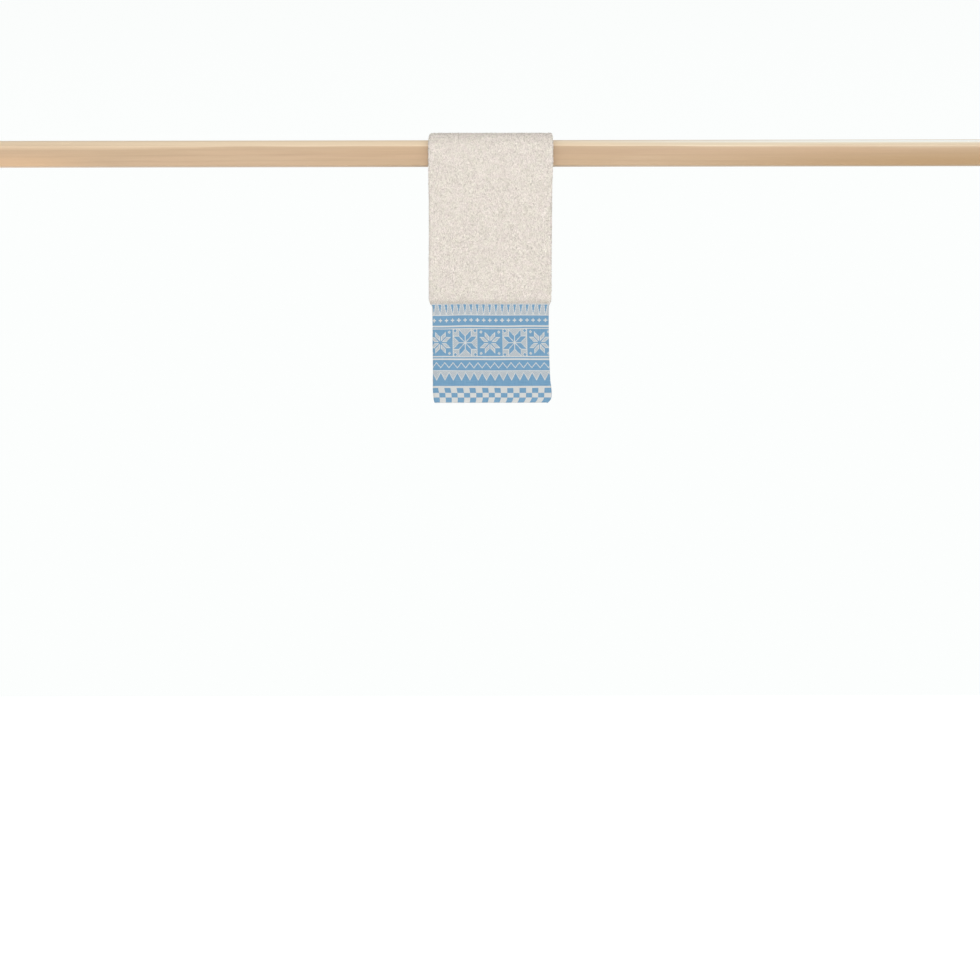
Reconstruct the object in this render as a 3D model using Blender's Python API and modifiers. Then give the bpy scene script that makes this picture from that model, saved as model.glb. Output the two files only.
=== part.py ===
"""A small terry towel, folded lengthwise in three and hung over a straight wooden rail.

Metres, +Z up. The rail runs along X, and the middle of its axis is the origin. The side of the
towel that shows its woven border faces -Y.
"""

import math
from collections import namedtuple

import bmesh
import bpy

# Rail
RAIL_LENGTH = 1.140
RAIL_DEPTH = 0.0280
RAIL_HEIGHT = 0.0285
RAIL_CROWN = 0.0020  # rise of the top's middle above the top's edges
RAIL_CHAMFER = 0.0046  # on the two upper edges
RAIL_EASE = 0.0006  # rounding of all the edges
CROWN_STRIPS = 8

# How thick one layer of each kind of cloth is, and how far apart the folded layers lie
Cloth = namedtuple("Cloth", "layer gap")
TERRY = Cloth(0.00245, 0.00030)  # with the pile of both its faces
PILE_EDGE = Cloth(0.00200, 0.00040)
WOVEN = Cloth(0.00120, 0.00060)
STITCHED = Cloth(0.00150, 0.00050)
HEM = Cloth(0.00230, 0.00040)
HEM_EDGE = Cloth(0.00190, 0.00040)

# Towel, flat and then folded and hung
TOWEL_LENGTH = 0.600
BORDER_LENGTH = 0.1085  # from the front hem's edge up to where the pile begins
SEAT_GAP = 0.0003  # between the rail's top and the innermost layer
SIDE_GAP = 0.0022  # between the rail's sides and the innermost layer
INNER_BEND = 0.0080  # radius of the innermost face where it turns over the rail
FRONT_DROP = 0.2740  # from the rail's axis down to the front hem
LOOSE_EDGE_IN = 0.0050  # from the right fold to the innermost layer's free edge
TUCKED_EDGE_IN = 0.0010  # from the left fold's centre to the middle layer's free edge

# The folded towel's cross section at named places, with smooth stretches between them.
# along: distance over the cloth from the front hem's edge
# left, right: how far the towel reaches to either side of its middle
Section = namedtuple("Section", "place along left right cloth")
SECTIONS = (
    Section("front hem, edge", 0.0000, 0.0614, 0.0634, HEM_EDGE),
    Section("front hem, corner", 0.0045, 0.0625, 0.0659, HEM),
    Section("front hem, belly", 0.0105, 0.0631, 0.0666, HEM),
    Section("front hem, stitching", 0.0175, 0.0634, 0.0661, STITCHED),
    Section("front border, foot", 0.0240, 0.0631, 0.0651, WOVEN),
    Section("front border, middle", 0.0630, 0.0635, 0.0637, WOVEN),
    Section("front border, top", 0.1050, 0.0640, 0.0637, WOVEN),
    Section("front pile, edge", BORDER_LENGTH, 0.0661, 0.0652, PILE_EDGE),
    Section("front pile", 0.1140, 0.0678, 0.0668, TERRY),
    Section("front terry, foot", 0.1680, 0.0680, 0.0672, TERRY),
    Section("front terry, waist", 0.2120, 0.0678, 0.0674, TERRY),
    Section("front terry, top", 0.2540, 0.0683, 0.0690, TERRY),
    Section("front shoulder", 0.2900, 0.0682, 0.0690, TERRY),
    Section("over the rail", 0.3074, 0.0675, 0.0682, TERRY),
    Section("back shoulder", 0.3250, 0.0681, 0.0688, TERRY),
    Section("back terry, top", 0.3600, 0.0682, 0.0685, TERRY),
    Section("back pile", 0.4850, 0.0673, 0.0671, TERRY),
    Section("back pile, edge", 0.4905, 0.0660, 0.0658, PILE_EDGE),
    Section("back band, top", 0.4940, 0.0641, 0.0640, WOVEN),
    Section("back band, foot", 0.5760, 0.0634, 0.0636, WOVEN),
    Section("back hem, stitching", 0.5825, 0.0636, 0.0638, STITCHED),
    Section("back hem, belly", 0.5900, 0.0639, 0.0642, HEM),
    Section("back hem, edge", TOWEL_LENGTH, 0.0628, 0.0630, HEM_EDGE),
)

# How far the foot of each leg stands out (+) or in (-) from a flat sheet, across its width
Sway = namedtuple("Sway", "left middle right")
FRONT_SWAY = Sway(-0.0010, 0.0008, 0.0016)
BACK_SWAY = Sway(0.0010, -0.0004, -0.0008)
SWAY_REACH = 0.065  # from the middle to where the left and right values hold

# How finely the cloth is divided
LAYER_SPANS = 6
FOLD_SPANS = 7
BEND_SPANS = 8
STEP_SPANS = 3  # where the cloth's thickness changes
LONGEST_SPAN = 0.028

TERRY_COLOUR = (0.77, 0.71, 0.64)
BORDER_COLOUR = (0.28, 0.44, 0.57)
WOOD_COLOUR = (0.64, 0.45, 0.29)

# Worked out from the sizes above, for the middle one of the three layers
STACK_HALF = TERRY.layer * 1.5 + TERRY.gap
BEND = INNER_BEND + STACK_HALF
BEND_Y = RAIL_DEPTH / 2 + SIDE_GAP - INNER_BEND
BEND_Z = RAIL_HEIGHT / 2 + SEAT_GAP - INNER_BEND
QUARTER_TURN = BEND * math.pi / 2
FRONT_LEG = FRONT_DROP + BEND_Z
TOP_START = FRONT_LEG + QUARTER_TURN
TOP_END = TOP_START + 2 * BEND_Y
BACK_LEG_START = TOP_END + QUARTER_TURN
BORDER_TOP = BORDER_LENGTH - FRONT_DROP


def between(a, b, share):
    return a + (b - a) * share


def eased(share):
    return share * share * (3 - 2 * share)


def slope_at(index, side):
    """How fast the reach on this side changes at a row, from the rows before and after it."""
    before = SECTIONS[max(index - 1, 0)]
    after = SECTIONS[min(index + 1, len(SECTIONS) - 1)]
    return (getattr(after, side) - getattr(before, side)) / (after.along - before.along)


def section_at(along):
    """The section at this distance: its reach on a smooth curve, its cloth eased, between rows."""
    index = next(i for i, row in enumerate(SECTIONS[1:]) if along <= row.along + 1e-9)
    before, after = SECTIONS[index], SECTIONS[index + 1]
    span = after.along - before.along
    share = (along - before.along) / span
    reach = {}
    for side in ("left", "right"):
        lead = slope_at(index, side) * share * (1 - share) ** 2
        trail = slope_at(index + 1, side) * (1 - share) * share**2
        straight = between(getattr(before, side), getattr(after, side), eased(share))
        reach[side] = straight + span * (lead - trail)
    cloth = Cloth(*(between(a, b, eased(share)) for a, b in zip(before.cloth, after.cloth)))
    return Section("between", along, reach["left"], reach["right"], cloth)


def folded_line(section):
    """The cloth's middle across one section, from free edge to free edge, as (x, out).

    The innermost layer runs left, the outer fold turns it round to the front layer, and the
    right fold turns that back into the middle layer, whose edge is tucked inside the left fold.
    """
    pitch = section.cloth.layer + section.cloth.gap
    half = section.cloth.layer / 2
    left_centre = pitch + half - section.left
    right_centre = section.right - pitch / 2 - half
    spans = [i / LAYER_SPANS for i in range(LAYER_SPANS)]
    turns = [math.pi * i / FOLD_SPANS for i in range(FOLD_SPANS)]
    line = [(between(section.right - LOOSE_EDGE_IN, left_centre, s), -pitch) for s in spans]
    line += [(left_centre - pitch * math.sin(a), -pitch * math.cos(a)) for a in turns]
    line += [(between(left_centre, right_centre, s), pitch) for s in spans]
    line += [
        (right_centre + pitch / 2 * math.sin(a), pitch / 2 * (1 + math.cos(a))) for a in turns
    ]
    line += [(between(right_centre, left_centre + TUCKED_EDGE_IN, s), 0) for s in spans + [1]]
    return line


def drape(along):
    """Where the middle layer hangs at this distance, and which way is outward: y, z, (y, z)."""
    if along <= FRONT_LEG:
        return -BEND_Y - BEND, BEND_Z - (FRONT_LEG - along), (-1, 0)
    if along <= TOP_START:
        angle = (along - FRONT_LEG) / BEND
        out = (-math.cos(angle), math.sin(angle))
        return -BEND_Y + BEND * out[0], BEND_Z + BEND * out[1], out
    if along <= TOP_END:
        return along - TOP_START - BEND_Y, BEND_Z + BEND, (0, 1)
    if along <= BACK_LEG_START:
        angle = (along - TOP_END) / BEND
        out = (math.sin(angle), math.cos(angle))
        return BEND_Y + BEND * out[0], BEND_Z + BEND * out[1], out
    return BEND_Y + BEND, BEND_Z - (along - BACK_LEG_START), (1, 0)


def sway(x, along):
    """How far the hanging cloth stands out from a flat sheet at this place."""
    if along <= FRONT_LEG:
        foot, share = FRONT_SWAY, 1 - along / FRONT_LEG
    elif along >= BACK_LEG_START:
        foot = BACK_SWAY
        share = (along - BACK_LEG_START) / (TOWEL_LENGTH - BACK_LEG_START)
    else:
        return 0
    across = x / SWAY_REACH
    tilt = (foot.right - foot.left) / 2
    bow = (foot.right + foot.left) / 2 - foot.middle
    return eased(share) * (foot.middle + tilt * across + bow * across * across)


def stations():
    """The distances over the cloth at which it has a row of points."""
    bends = [FRONT_LEG + QUARTER_TURN * i / BEND_SPANS for i in range(BEND_SPANS + 1)]
    bends += [TOP_END + QUARTER_TURN * i / BEND_SPANS for i in range(BEND_SPANS + 1)]
    places = [row.along for row in SECTIONS]
    places = [p for p in places if not FRONT_LEG - 1e-3 < p < BACK_LEG_START + 1e-3]
    named = sorted(places + bends)
    rows = [named[0]]
    for start, end in zip(named, named[1:]):
        pieces = math.ceil((end - start) / LONGEST_SPAN)
        if section_at(start).cloth != section_at(end).cloth:
            pieces = max(pieces, STEP_SPANS)
        rows += [between(start, end, i / pieces) for i in range(1, pieces + 1)]
    return rows


def material(name, colour, roughness):
    made = bpy.data.materials.new(name)
    made.use_nodes = True
    shader = made.node_tree.nodes["Principled BSDF"]
    shader.inputs["Base Color"].default_value = (*colour, 1)
    shader.inputs["Roughness"].default_value = roughness
    shader.inputs["Metallic"].default_value = 0
    return made


def add_object(name, bm, collection):
    mesh = bpy.data.meshes.new(name)
    bm.to_mesh(mesh)
    bm.free()
    obj = bpy.data.objects.new(name, mesh)
    collection.objects.link(obj)
    return obj


def add_towel(collection):
    """One sheet, folded and draped point by point, and given each place's own thickness."""
    rows = stations()
    columns = 3 * LAYER_SPANS + 2 * FOLD_SPANS
    thickest = max(row.cloth.layer for row in SECTIONS)
    bm = bmesh.new()
    bmesh.ops.create_grid(bm, x_segments=columns, y_segments=len(rows) - 1, size=0.5)
    thickness = bm.verts.layers.deform.verify()
    sections = [section_at(along) for along in rows]
    lines = [folded_line(section) for section in sections]
    for vert in bm.verts:
        column = round((vert.co.x + 0.5) * columns)
        row = round((vert.co.y + 0.5) * (len(rows) - 1))
        x, out = lines[row][column]
        y, z, outward = drape(rows[row])
        out += sway(x, rows[row])
        vert.co = (x, y + out * outward[0], z + out * outward[1])
        vert[thickness][0] = sections[row].cloth.layer / thickest
    for face in bm.faces:
        middle = face.calc_center_median()
        face.material_index = int(middle.y < 0 and middle.z < BORDER_TOP)
        face.smooth = True
    towel = add_object("towel", bm, collection)
    towel.vertex_groups.new(name="thickness")
    towel.data.materials.append(material("terry", TERRY_COLOUR, 0.95))
    towel.data.materials.append(material("woven_border", BORDER_COLOUR, 0.9))
    solid = towel.modifiers.new("thickness", "SOLIDIFY")
    solid.thickness = thickest
    solid.offset = 0
    solid.vertex_group = "thickness"
    return towel


def is_at(edge, axis, value):
    return all(abs(vert.co[axis] - value) < 1e-6 for vert in edge.verts)


def add_rail(collection):
    """A square bar with its upper edges chamfered, its top softly crowned and its edges eased."""
    shoulder = RAIL_HEIGHT / 2 - RAIL_CROWN
    bm = bmesh.new()
    bmesh.ops.create_cube(bm, size=1)
    height = RAIL_HEIGHT - RAIL_CROWN
    bmesh.ops.scale(bm, verts=bm.verts, vec=(RAIL_LENGTH, RAIL_DEPTH, height))
    bmesh.ops.translate(bm, verts=bm.verts, vec=(0, 0, -RAIL_CROWN / 2))
    upper = [
        edge
        for edge in bm.edges
        if is_at(edge, 2, shoulder) and edge.verts[0].co.y == edge.verts[1].co.y
    ]
    bmesh.ops.bevel(bm, geom=upper, offset=RAIL_CHAMFER, segments=1, affect="EDGES")
    ends = [
        edge
        for edge in bm.edges
        if is_at(edge, 2, shoulder) and edge.verts[0].co.x == edge.verts[1].co.x
    ]
    bmesh.ops.subdivide_edges(bm, edges=ends, cuts=CROWN_STRIPS - 1, use_grid_fill=True)
    half = RAIL_DEPTH / 2 - RAIL_CHAMFER
    for vert in bm.verts:
        if abs(vert.co.z - shoulder) < 1e-6:
            vert.co.z += RAIL_CROWN * (1 - (vert.co.y / half) ** 2)
    rail = add_object("rail", bm, collection)
    rail.data.materials.append(material("wood", WOOD_COLOUR, 0.55))
    ease = rail.modifiers.new("eased_edges", "BEVEL")
    ease.width = RAIL_EASE
    ease.segments = 2
    ease.limit_method = "ANGLE"
    ease.angle_limit = math.radians(18)
    return rail


def main():
    for obj in list(bpy.data.objects):
        bpy.data.objects.remove(obj)
    collection = bpy.data.collections.new("folded_towel_on_rail")
    bpy.context.scene.collection.children.link(collection)
    add_rail(collection)
    add_towel(collection)


main()
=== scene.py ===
# %% [markdown]
# # A small terry towel over a wooden rail
#
# This lesson dresses a guest towel that is folded lengthwise in three and hung over a plain rail.
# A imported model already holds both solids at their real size, in metres, with +Z up and the
# woven border facing -Y. Here every surface gets its own shape and finish: terry loops, a woven
# border, a stitched hem and grained wood. We start by loading the solids and keeping their box,
# because nothing that we model may grow out of it.

# %% Load the frame
import math
from collections import namedtuple

import bpy
import numpy as np
from mathutils import Matrix, Vector


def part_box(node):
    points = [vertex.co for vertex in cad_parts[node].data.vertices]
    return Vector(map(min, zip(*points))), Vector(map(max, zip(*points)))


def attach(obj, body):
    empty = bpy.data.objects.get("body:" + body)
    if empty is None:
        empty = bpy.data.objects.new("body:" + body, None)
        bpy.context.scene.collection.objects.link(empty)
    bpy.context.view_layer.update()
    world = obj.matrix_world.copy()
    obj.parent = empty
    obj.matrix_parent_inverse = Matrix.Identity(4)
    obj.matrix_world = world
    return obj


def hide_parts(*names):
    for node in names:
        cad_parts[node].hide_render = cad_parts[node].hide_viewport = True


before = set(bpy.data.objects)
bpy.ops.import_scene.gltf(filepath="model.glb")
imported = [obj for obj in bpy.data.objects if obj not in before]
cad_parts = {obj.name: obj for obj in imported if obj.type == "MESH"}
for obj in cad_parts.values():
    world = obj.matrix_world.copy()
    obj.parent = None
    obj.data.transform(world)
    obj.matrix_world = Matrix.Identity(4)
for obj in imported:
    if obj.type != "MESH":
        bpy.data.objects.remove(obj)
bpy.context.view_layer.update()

# %% [markdown]
# ## Short ways to write shader nodes
#
# Every finish below is built from nodes. Two helpers keep that readable. `add_node` makes one
# node and fills its sockets, either with a plain value or with a link. `Field` lets Math nodes be
# written as ordinary sums: `(height - 3) * 2` with a `Field` makes two nodes and links them.

# %% Node helpers


def fill(tree, socket, value):
    """Links the socket to a field or another socket, or sets it to a plain value."""
    if isinstance(value, Field):
        value = value.socket
    if isinstance(value, bpy.types.NodeSocket):
        tree.links.new(value, socket)
    else:
        socket.default_value = value


def add_node(tree, kind, sockets=None, **settings):
    """One node with its settings; sockets are given by name or by number."""
    node = tree.nodes.new(kind)
    for name, value in settings.items():
        setattr(node, name, value)
    for key, value in (sockets or {}).items():
        fill(tree, node.inputs[key], value)
    return node


# %% Fields, written as sums


def maths(operation, *values):
    """A Math node over fields and plain numbers, given back as a new field."""
    tree = next(value.tree for value in values if isinstance(value, Field))
    node = add_node(tree, "ShaderNodeMath", dict(enumerate(values)), operation=operation)
    return Field(tree, node.outputs[0])


class Field:
    """A number that changes over the surface."""

    def __init__(self, tree, socket):
        self.tree = tree
        self.socket = socket

    def __add__(self, other):
        return maths("ADD", self, other)

    def __sub__(self, other):
        return maths("SUBTRACT", self, other)

    def __rsub__(self, other):
        return maths("SUBTRACT", other, self)

    def __mul__(self, other):
        return maths("MULTIPLY", self, other)

    __radd__, __rmul__ = __add__, __mul__


# %% The greatest, the least and a mix


def most(first, *others):
    """The greatest of several fields, at each place."""
    for other in others:
        first = maths("MAXIMUM", first, other)
    return first


def least(first, *others):
    """The least of several fields, at each place."""
    for other in others:
        first = maths("MINIMUM", first, other)
    return first


def mixed(share, colour_a, colour_b):
    """The socket of a colour that goes from a to b as share goes from 0 to 1."""
    tree = share.tree
    node = add_node(tree, "ShaderNodeMix", data_type="RGBA")
    fill(tree, node.inputs["Factor"], share)
    fill(tree, node.inputs["A"], colour_a)
    fill(tree, node.inputs["B"], colour_b)
    return node.outputs["Result"]


# %% Clouds and slopes


def stretched(tree, vector, scale):
    """The vector times scale: a pattern that reads it is finer where the scale is greater."""
    node = add_node(tree, "ShaderNodeMapping", {"Vector": vector, "Scale": scale})
    return node.outputs["Vector"]


def noise(tree, vector, scale, detail=2.0, roughness=0.5):
    """A cloudy field between 0 and 1, with features 1 / scale across."""
    node = add_node(
        tree,
        "ShaderNodeTexNoise",
        {"Vector": vector, "Scale": scale, "Detail": detail, "Roughness": roughness},
    )
    return Field(tree, node.outputs["Fac"])


def ramp(field, low, high):
    """0 below low, 1 above high and an eased slope between; low may be the greater."""
    node = add_node(
        field.tree,
        "ShaderNodeMapRange",
        {"Value": field, "From Min": low, "From Max": high},
        interpolation_type="SMOOTHSTEP",
    )
    return Field(field.tree, node.outputs["Result"])


# %% A new material


def start_finish(name, roughness):
    """A new material, its node tree and its shader, which is already plugged in."""
    finish = bpy.data.materials.new(name)
    finish.use_nodes = True
    shader = finish.node_tree.nodes["Principled BSDF"]
    shader.inputs["Roughness"].default_value = roughness
    return finish, finish.node_tree, shader


def add_bump(tree, shader, height, distance, strength=1.0):
    """Reads a field as relief: where it rises by 1 it looks this many metres higher."""
    bump = add_node(
        tree, "ShaderNodeBump", {"Height": height, "Distance": distance, "Strength": strength}
    )
    tree.links.new(bump.outputs["Normal"], shader.inputs["Normal"])


# %% [markdown]
# ## The view
#
# The photo is taken head on, with a long lens, and its middle lies well below the rail. So the
# rail is seen slightly from below: its underside is a thin line and its rounded top is hidden.
# A long lens far away keeps the rail's edges parallel. We work the distance out from the width of
# the picture at the rail, and turn the camera by the tenth of a degree that the rail slopes.

# %% Camera
PICTURE_WIDTH = 1.0715  # of the view, measured at the rail's front
PICTURE_MIDDLE = (-0.0010, -0.3691)  # x and z of the view's centre
LENS_MM = 200
ROLL = math.radians(0.09)
RAIL_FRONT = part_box("rail")[0].y

camera_data = bpy.data.cameras.new("camera")
camera_data.lens = LENS_MM
distance = PICTURE_WIDTH * LENS_MM / camera_data.sensor_width
camera_data.clip_start = 0.1
camera_data.clip_end = 100
camera = bpy.data.objects.new("camera", camera_data)
camera.location = (PICTURE_MIDDLE[0], RAIL_FRONT - distance, PICTURE_MIDDLE[1])
camera.rotation_euler = (math.pi / 2, ROLL, 0)
bpy.context.scene.collection.objects.link(camera)
bpy.context.scene.camera = camera
bpy.context.scene.view_settings.view_transform = "Standard"
print("the camera stands", round(distance, 2), "m from the rail")

# %% [markdown]
# ## The light
#
# The photo is a white studio picture with hardly any shadow. A white world gives that: light from
# every side, darker only in the hollows between loops and folds. A real studio's ceiling is less
# bright than its walls, so the world's strength falls off overhead, which leaves the cloth on top
# of the rail a little darker than the hanging cloth. One large lamp lights the front from just
# beside the camera, so the towel's shadow on the rail hides behind the towel. The floor runs far
# back and glows a little, more so the farther it is, so that no horizon line cuts the view.

# %% World
WORLD_COLOUR = (0.975, 0.992, 0.984, 1)
CEILING_LOSS = 0.20  # share of the light that is missing overhead
CEILING_RISE = (0.05, 0.30)  # z of a direction where the loss sets in, and where it is full

world = bpy.data.worlds.new("white_studio")
world.use_nodes = True
tree = world.node_tree
direction = add_node(tree, "ShaderNodeTexCoord").outputs["Generated"]
axes = add_node(tree, "ShaderNodeSeparateXYZ", {"Vector": direction})
overhead = ramp(Field(tree, axes.outputs["Z"]), *CEILING_RISE)
strength = 1 - overhead * CEILING_LOSS
tree.nodes["Background"].inputs["Color"].default_value = WORLD_COLOUR
tree.links.new(strength.socket, tree.nodes["Background"].inputs["Strength"])
bpy.context.scene.world = world
print("the world gives", 1 - CEILING_LOSS, "of its light from overhead")

# %% Lamp
LAMP_PLACE = (0.5, -7.7, -0.05)
LAMP_TARGET = Vector((0, 0, -0.12))  # about the towel's middle
LAMP_SIZE = 2.4
LAMP_WATTS = 184

lamp_data = bpy.data.lights.new("soft_lamp", "AREA")
lamp_data.shape = "DISK"
lamp_data.size = LAMP_SIZE
lamp_data.energy = LAMP_WATTS
lamp = bpy.data.objects.new("soft_lamp", lamp_data)
lamp.location = LAMP_PLACE
beam = LAMP_TARGET - lamp.location
lamp.rotation_euler = beam.to_track_quat("-Z", "Y").to_euler()
bpy.context.scene.collection.objects.link(lamp)
print("the lamp stands", round(beam.length, 2), "m from the towel")

# %% Floor
FLOOR_HEIGHT = -1.05
FLOOR_SIZE = 24
FLOOR_COLOUR = (0.930, 0.940, 0.935, 1)
GLOW_COLOUR = (1, 1, 1, 1)
NEAR_GLOW = 0.15  # the floor's own light under the towel
FAR_GLOW = 0.42  # and farther off, where it has to look as white as the world behind it
GLOW_REACH = (0.4, 1.6)  # metres from the middle of the floor, from the one to the other

bpy.ops.object.select_all(action="DESELECT")
bpy.ops.mesh.primitive_plane_add(size=FLOOR_SIZE, location=(0, 0, FLOOR_HEIGHT))
floor = bpy.context.object
floor.name = "floor"
floor_finish, tree, shader = start_finish("pale_floor", roughness=0.9)
shader.inputs["Base Color"].default_value = FLOOR_COLOUR
shader.inputs["Emission Color"].default_value = GLOW_COLOUR
place = add_node(tree, "ShaderNodeTexCoord").outputs["Object"]
far = add_node(tree, "ShaderNodeVectorMath", {0: place}, operation="LENGTH").outputs["Value"]
glow = ramp(Field(tree, far), *GLOW_REACH) * (FAR_GLOW - NEAR_GLOW) + NEAR_GLOW
tree.links.new(glow.socket, shader.inputs["Emission Strength"])
floor.data.materials.append(floor_finish)
print("the floor lies", -FLOOR_HEIGHT, "m below the rail")

# %% [markdown]
# ## The rail
#
# The real rail is a planed softwood bar. Its two upper edges are cut off at 45 degrees and its top
# is slightly rounded, so that cloth slides over it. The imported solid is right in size, but its
# rounded top is made of a few flat strips. We model it again from a cube: bevel the upper edges
# once for the chamfers, cut the top lengthwise into fine strips, lift them to a shallow arch, and
# let a Bevel modifier ease all the edges, as fine sandpaper would.

# %% Rail shape
rail_low, rail_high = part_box("rail")
RAIL_LENGTH, RAIL_DEPTH = (rail_high - rail_low).xy
RAIL_CROWN = 0.0020  # rise of the top from its two long edges to its middle
RAIL_CHAMFER = 0.0046  # width that is cut off along each face
RAIL_EASE = 0.0007  # width of the eased edges
TOP_STRIPS = 24
EASED_ABOVE = math.radians(18)  # edges that turn by more than this are eased
SMOOTH_BELOW = math.radians(32)  # edges that turn by less than this are shaded smooth
CLOSE = 1e-6  # metres, within which two places count as one
shoulder = rail_high.z - RAIL_CROWN


def select_edges(obj, wanted):
    """Selects just the edges whose two end points pass the test, and stays in edit mode."""
    bpy.ops.object.mode_set(mode="EDIT")
    bpy.ops.mesh.select_mode(type="EDGE")
    bpy.ops.mesh.select_all(action="DESELECT")
    bpy.ops.object.mode_set(mode="OBJECT")
    points = [vert.co for vert in obj.data.vertices]
    for edge in obj.data.edges:
        edge.select = wanted(points[edge.vertices[0]], points[edge.vertices[1]])
    bpy.ops.object.mode_set(mode="EDIT")


def near(a, b):
    """Whether two coordinates are the same, but for rounding."""
    return abs(a - b) < CLOSE


bpy.ops.object.select_all(action="DESELECT")
bpy.ops.mesh.primitive_cube_add(
    size=1,
    location=(0, 0, (rail_low.z + shoulder) / 2),
    scale=(RAIL_LENGTH, RAIL_DEPTH, shoulder - rail_low.z),
)
rail = bpy.context.object
rail.name = "rail_bar"
bpy.ops.object.transform_apply(location=True, rotation=True, scale=True)
select_edges(
    rail, lambda a, b: near(a.z, shoulder) and near(b.z, shoulder) and near(a.y, b.y)
)
bpy.ops.mesh.bevel(offset=RAIL_CHAMFER, segments=1, affect="EDGES")
select_edges(
    rail, lambda a, b: near(a.z, shoulder) and near(b.z, shoulder) and near(a.x, b.x)
)
bpy.ops.mesh.subdivide(number_cuts=TOP_STRIPS - 1)
bpy.ops.object.mode_set(mode="OBJECT")
flat_half = RAIL_DEPTH / 2 - RAIL_CHAMFER
for vert in rail.data.vertices:
    if near(vert.co.z, shoulder):
        vert.co.z += RAIL_CROWN * (1 - (vert.co.y / flat_half) ** 2)

ease = rail.modifiers.new("eased_edges", "BEVEL")
ease.width = RAIL_EASE
ease.segments = 3
ease.limit_method = "ANGLE"
ease.angle_limit = EASED_ABOVE
bpy.ops.object.modifier_apply(modifier=ease.name)
bpy.ops.object.shade_smooth_by_angle(angle=SMOOTH_BELOW)
print("rail:", len(rail.data.polygons), "faces,", [round(s, 4) for s in rail.dimensions])

# %% [markdown]
# ## Wood
#
# Softwood has three scales of pattern. Growth rings are shells round the tree's heart, which lies
# outside this bar, so they run along it as faint broad bands. Fibres are fine streaks, a hundred
# times longer than wide. Patches of wood in other colours change slowly along the length: pale
# and peach all over, a warmer foot at the left end and honey towards the right. Beside the cloth
# the wood is painted darker, with tan and honey, as painted shade next to the towel. A picture of
# a board would show its join where it wraps round the bar. So all of this is a solid pattern on
# Object coordinates, and the end faces show the same wood cut across, where the late wood's rings
# and the open pores look darker.

# %% Wood colours
WOOD_PALE = (0.486, 0.337, 0.209, 1)
# Tan and honey are tones of the wood itself, and they also give the painted shade beside the cloth.
WOOD_TAN_AND_SHADE = (0.412, 0.280, 0.170, 1)
WOOD_PEACH = (0.515, 0.343, 0.215, 1)
WOOD_HONEY_AND_SHADE = (0.365, 0.225, 0.103, 1)
WOOD_WARM = (0.570, 0.370, 0.215, 1)
WOOD_END = (0.270, 0.165, 0.090, 1)  # late wood and pores, cut across
# Painted highlights: the sheen on the chamfers, paler to the right.
WOOD_PAINTED_HIGHLIGHT = (0.755, 0.590, 0.410, 1)
WOOD_PAINTED_HIGHLIGHT_RIGHT = (0.740, 0.610, 0.440, 1)
WOOD_PAINTED_GLARE = (0.860, 0.865, 0.815, 1)  # painted highlight, the glare on the upper edge
WOOD_PAINTED_GLARE_CORNER = (0.965, 0.970, 0.940, 1)  # and on its very corner

# %% Rings and fibres
HEART = (0.075, -0.110)  # y and z of the tree's heart
HEART_STRETCH = (1.0, 4, 4)
HEART_WANDER = 0.02  # metres between the ends of its swing
RING_GAP = 0.0052
LATE_WOOD = (0.45, 0.92)  # shares of a ring's width, between which its wood darkens
RING_END = (1.0, 0.93)  # and between which it turns pale again
END_FACE = (0.60, 0.90)  # x of the surface's direction, from a long side to an end face
FIBRE_STRETCH = (1.6, 150, 150)
PATCH_STRETCH = (2.2, 30, 30)
STREAK_STRETCH = (4.0, 80, 80)

wood, tree, shader = start_finish("planed_softwood", roughness=0.5)
place = add_node(tree, "ShaderNodeTexCoord").outputs["Object"]
xyz = add_node(tree, "ShaderNodeSeparateXYZ", {"Vector": place})
along_x = Field(tree, xyz.outputs["X"])
along_y, along_z = Field(tree, xyz.outputs["Y"]), Field(tree, xyz.outputs["Z"])
wander = noise(tree, stretched(tree, place, HEART_STRETCH), scale=1.6, detail=1.0)
from_heart_y = along_y - HEART[0] + (wander - 0.5) * HEART_WANDER
from_heart_z = along_z - HEART[1]
radius = maths("SQRT", from_heart_y * from_heart_y + from_heart_z * from_heart_z)
ring = maths("FRACT", radius * (1 / RING_GAP))
late_wood = ramp(ring, *LATE_WOOD) * ramp(ring, *RING_END)
facing = add_node(tree, "ShaderNodeTexCoord").outputs["Normal"]
facing = add_node(tree, "ShaderNodeSeparateXYZ", {"Vector": facing})
on_end = ramp(maths("ABSOLUTE", Field(tree, facing.outputs["X"])), *END_FACE)
pores = noise(tree, place, scale=2600, roughness=0.7)
fibre = noise(
    tree, stretched(tree, place, FIBRE_STRETCH), scale=9.0, detail=5.0, roughness=0.6
)
patch = noise(tree, stretched(tree, place, PATCH_STRETCH), scale=1.5)
streak = noise(tree, stretched(tree, place, STREAK_STRETCH), scale=1.5)
print("the rail's axis lies", round(math.hypot(*HEART) / RING_GAP), "rings from the heart")

# %% [markdown]
# The fields now choose between the colours. Each pair of numbers below is a slope, from where a
# colour sets in to where it is full. For a cloudy field these are values between 0 and 1, and
# for a place they are metres to the right of the rail's middle or above its axis. A share says
# how much of the colour is used.

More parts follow.
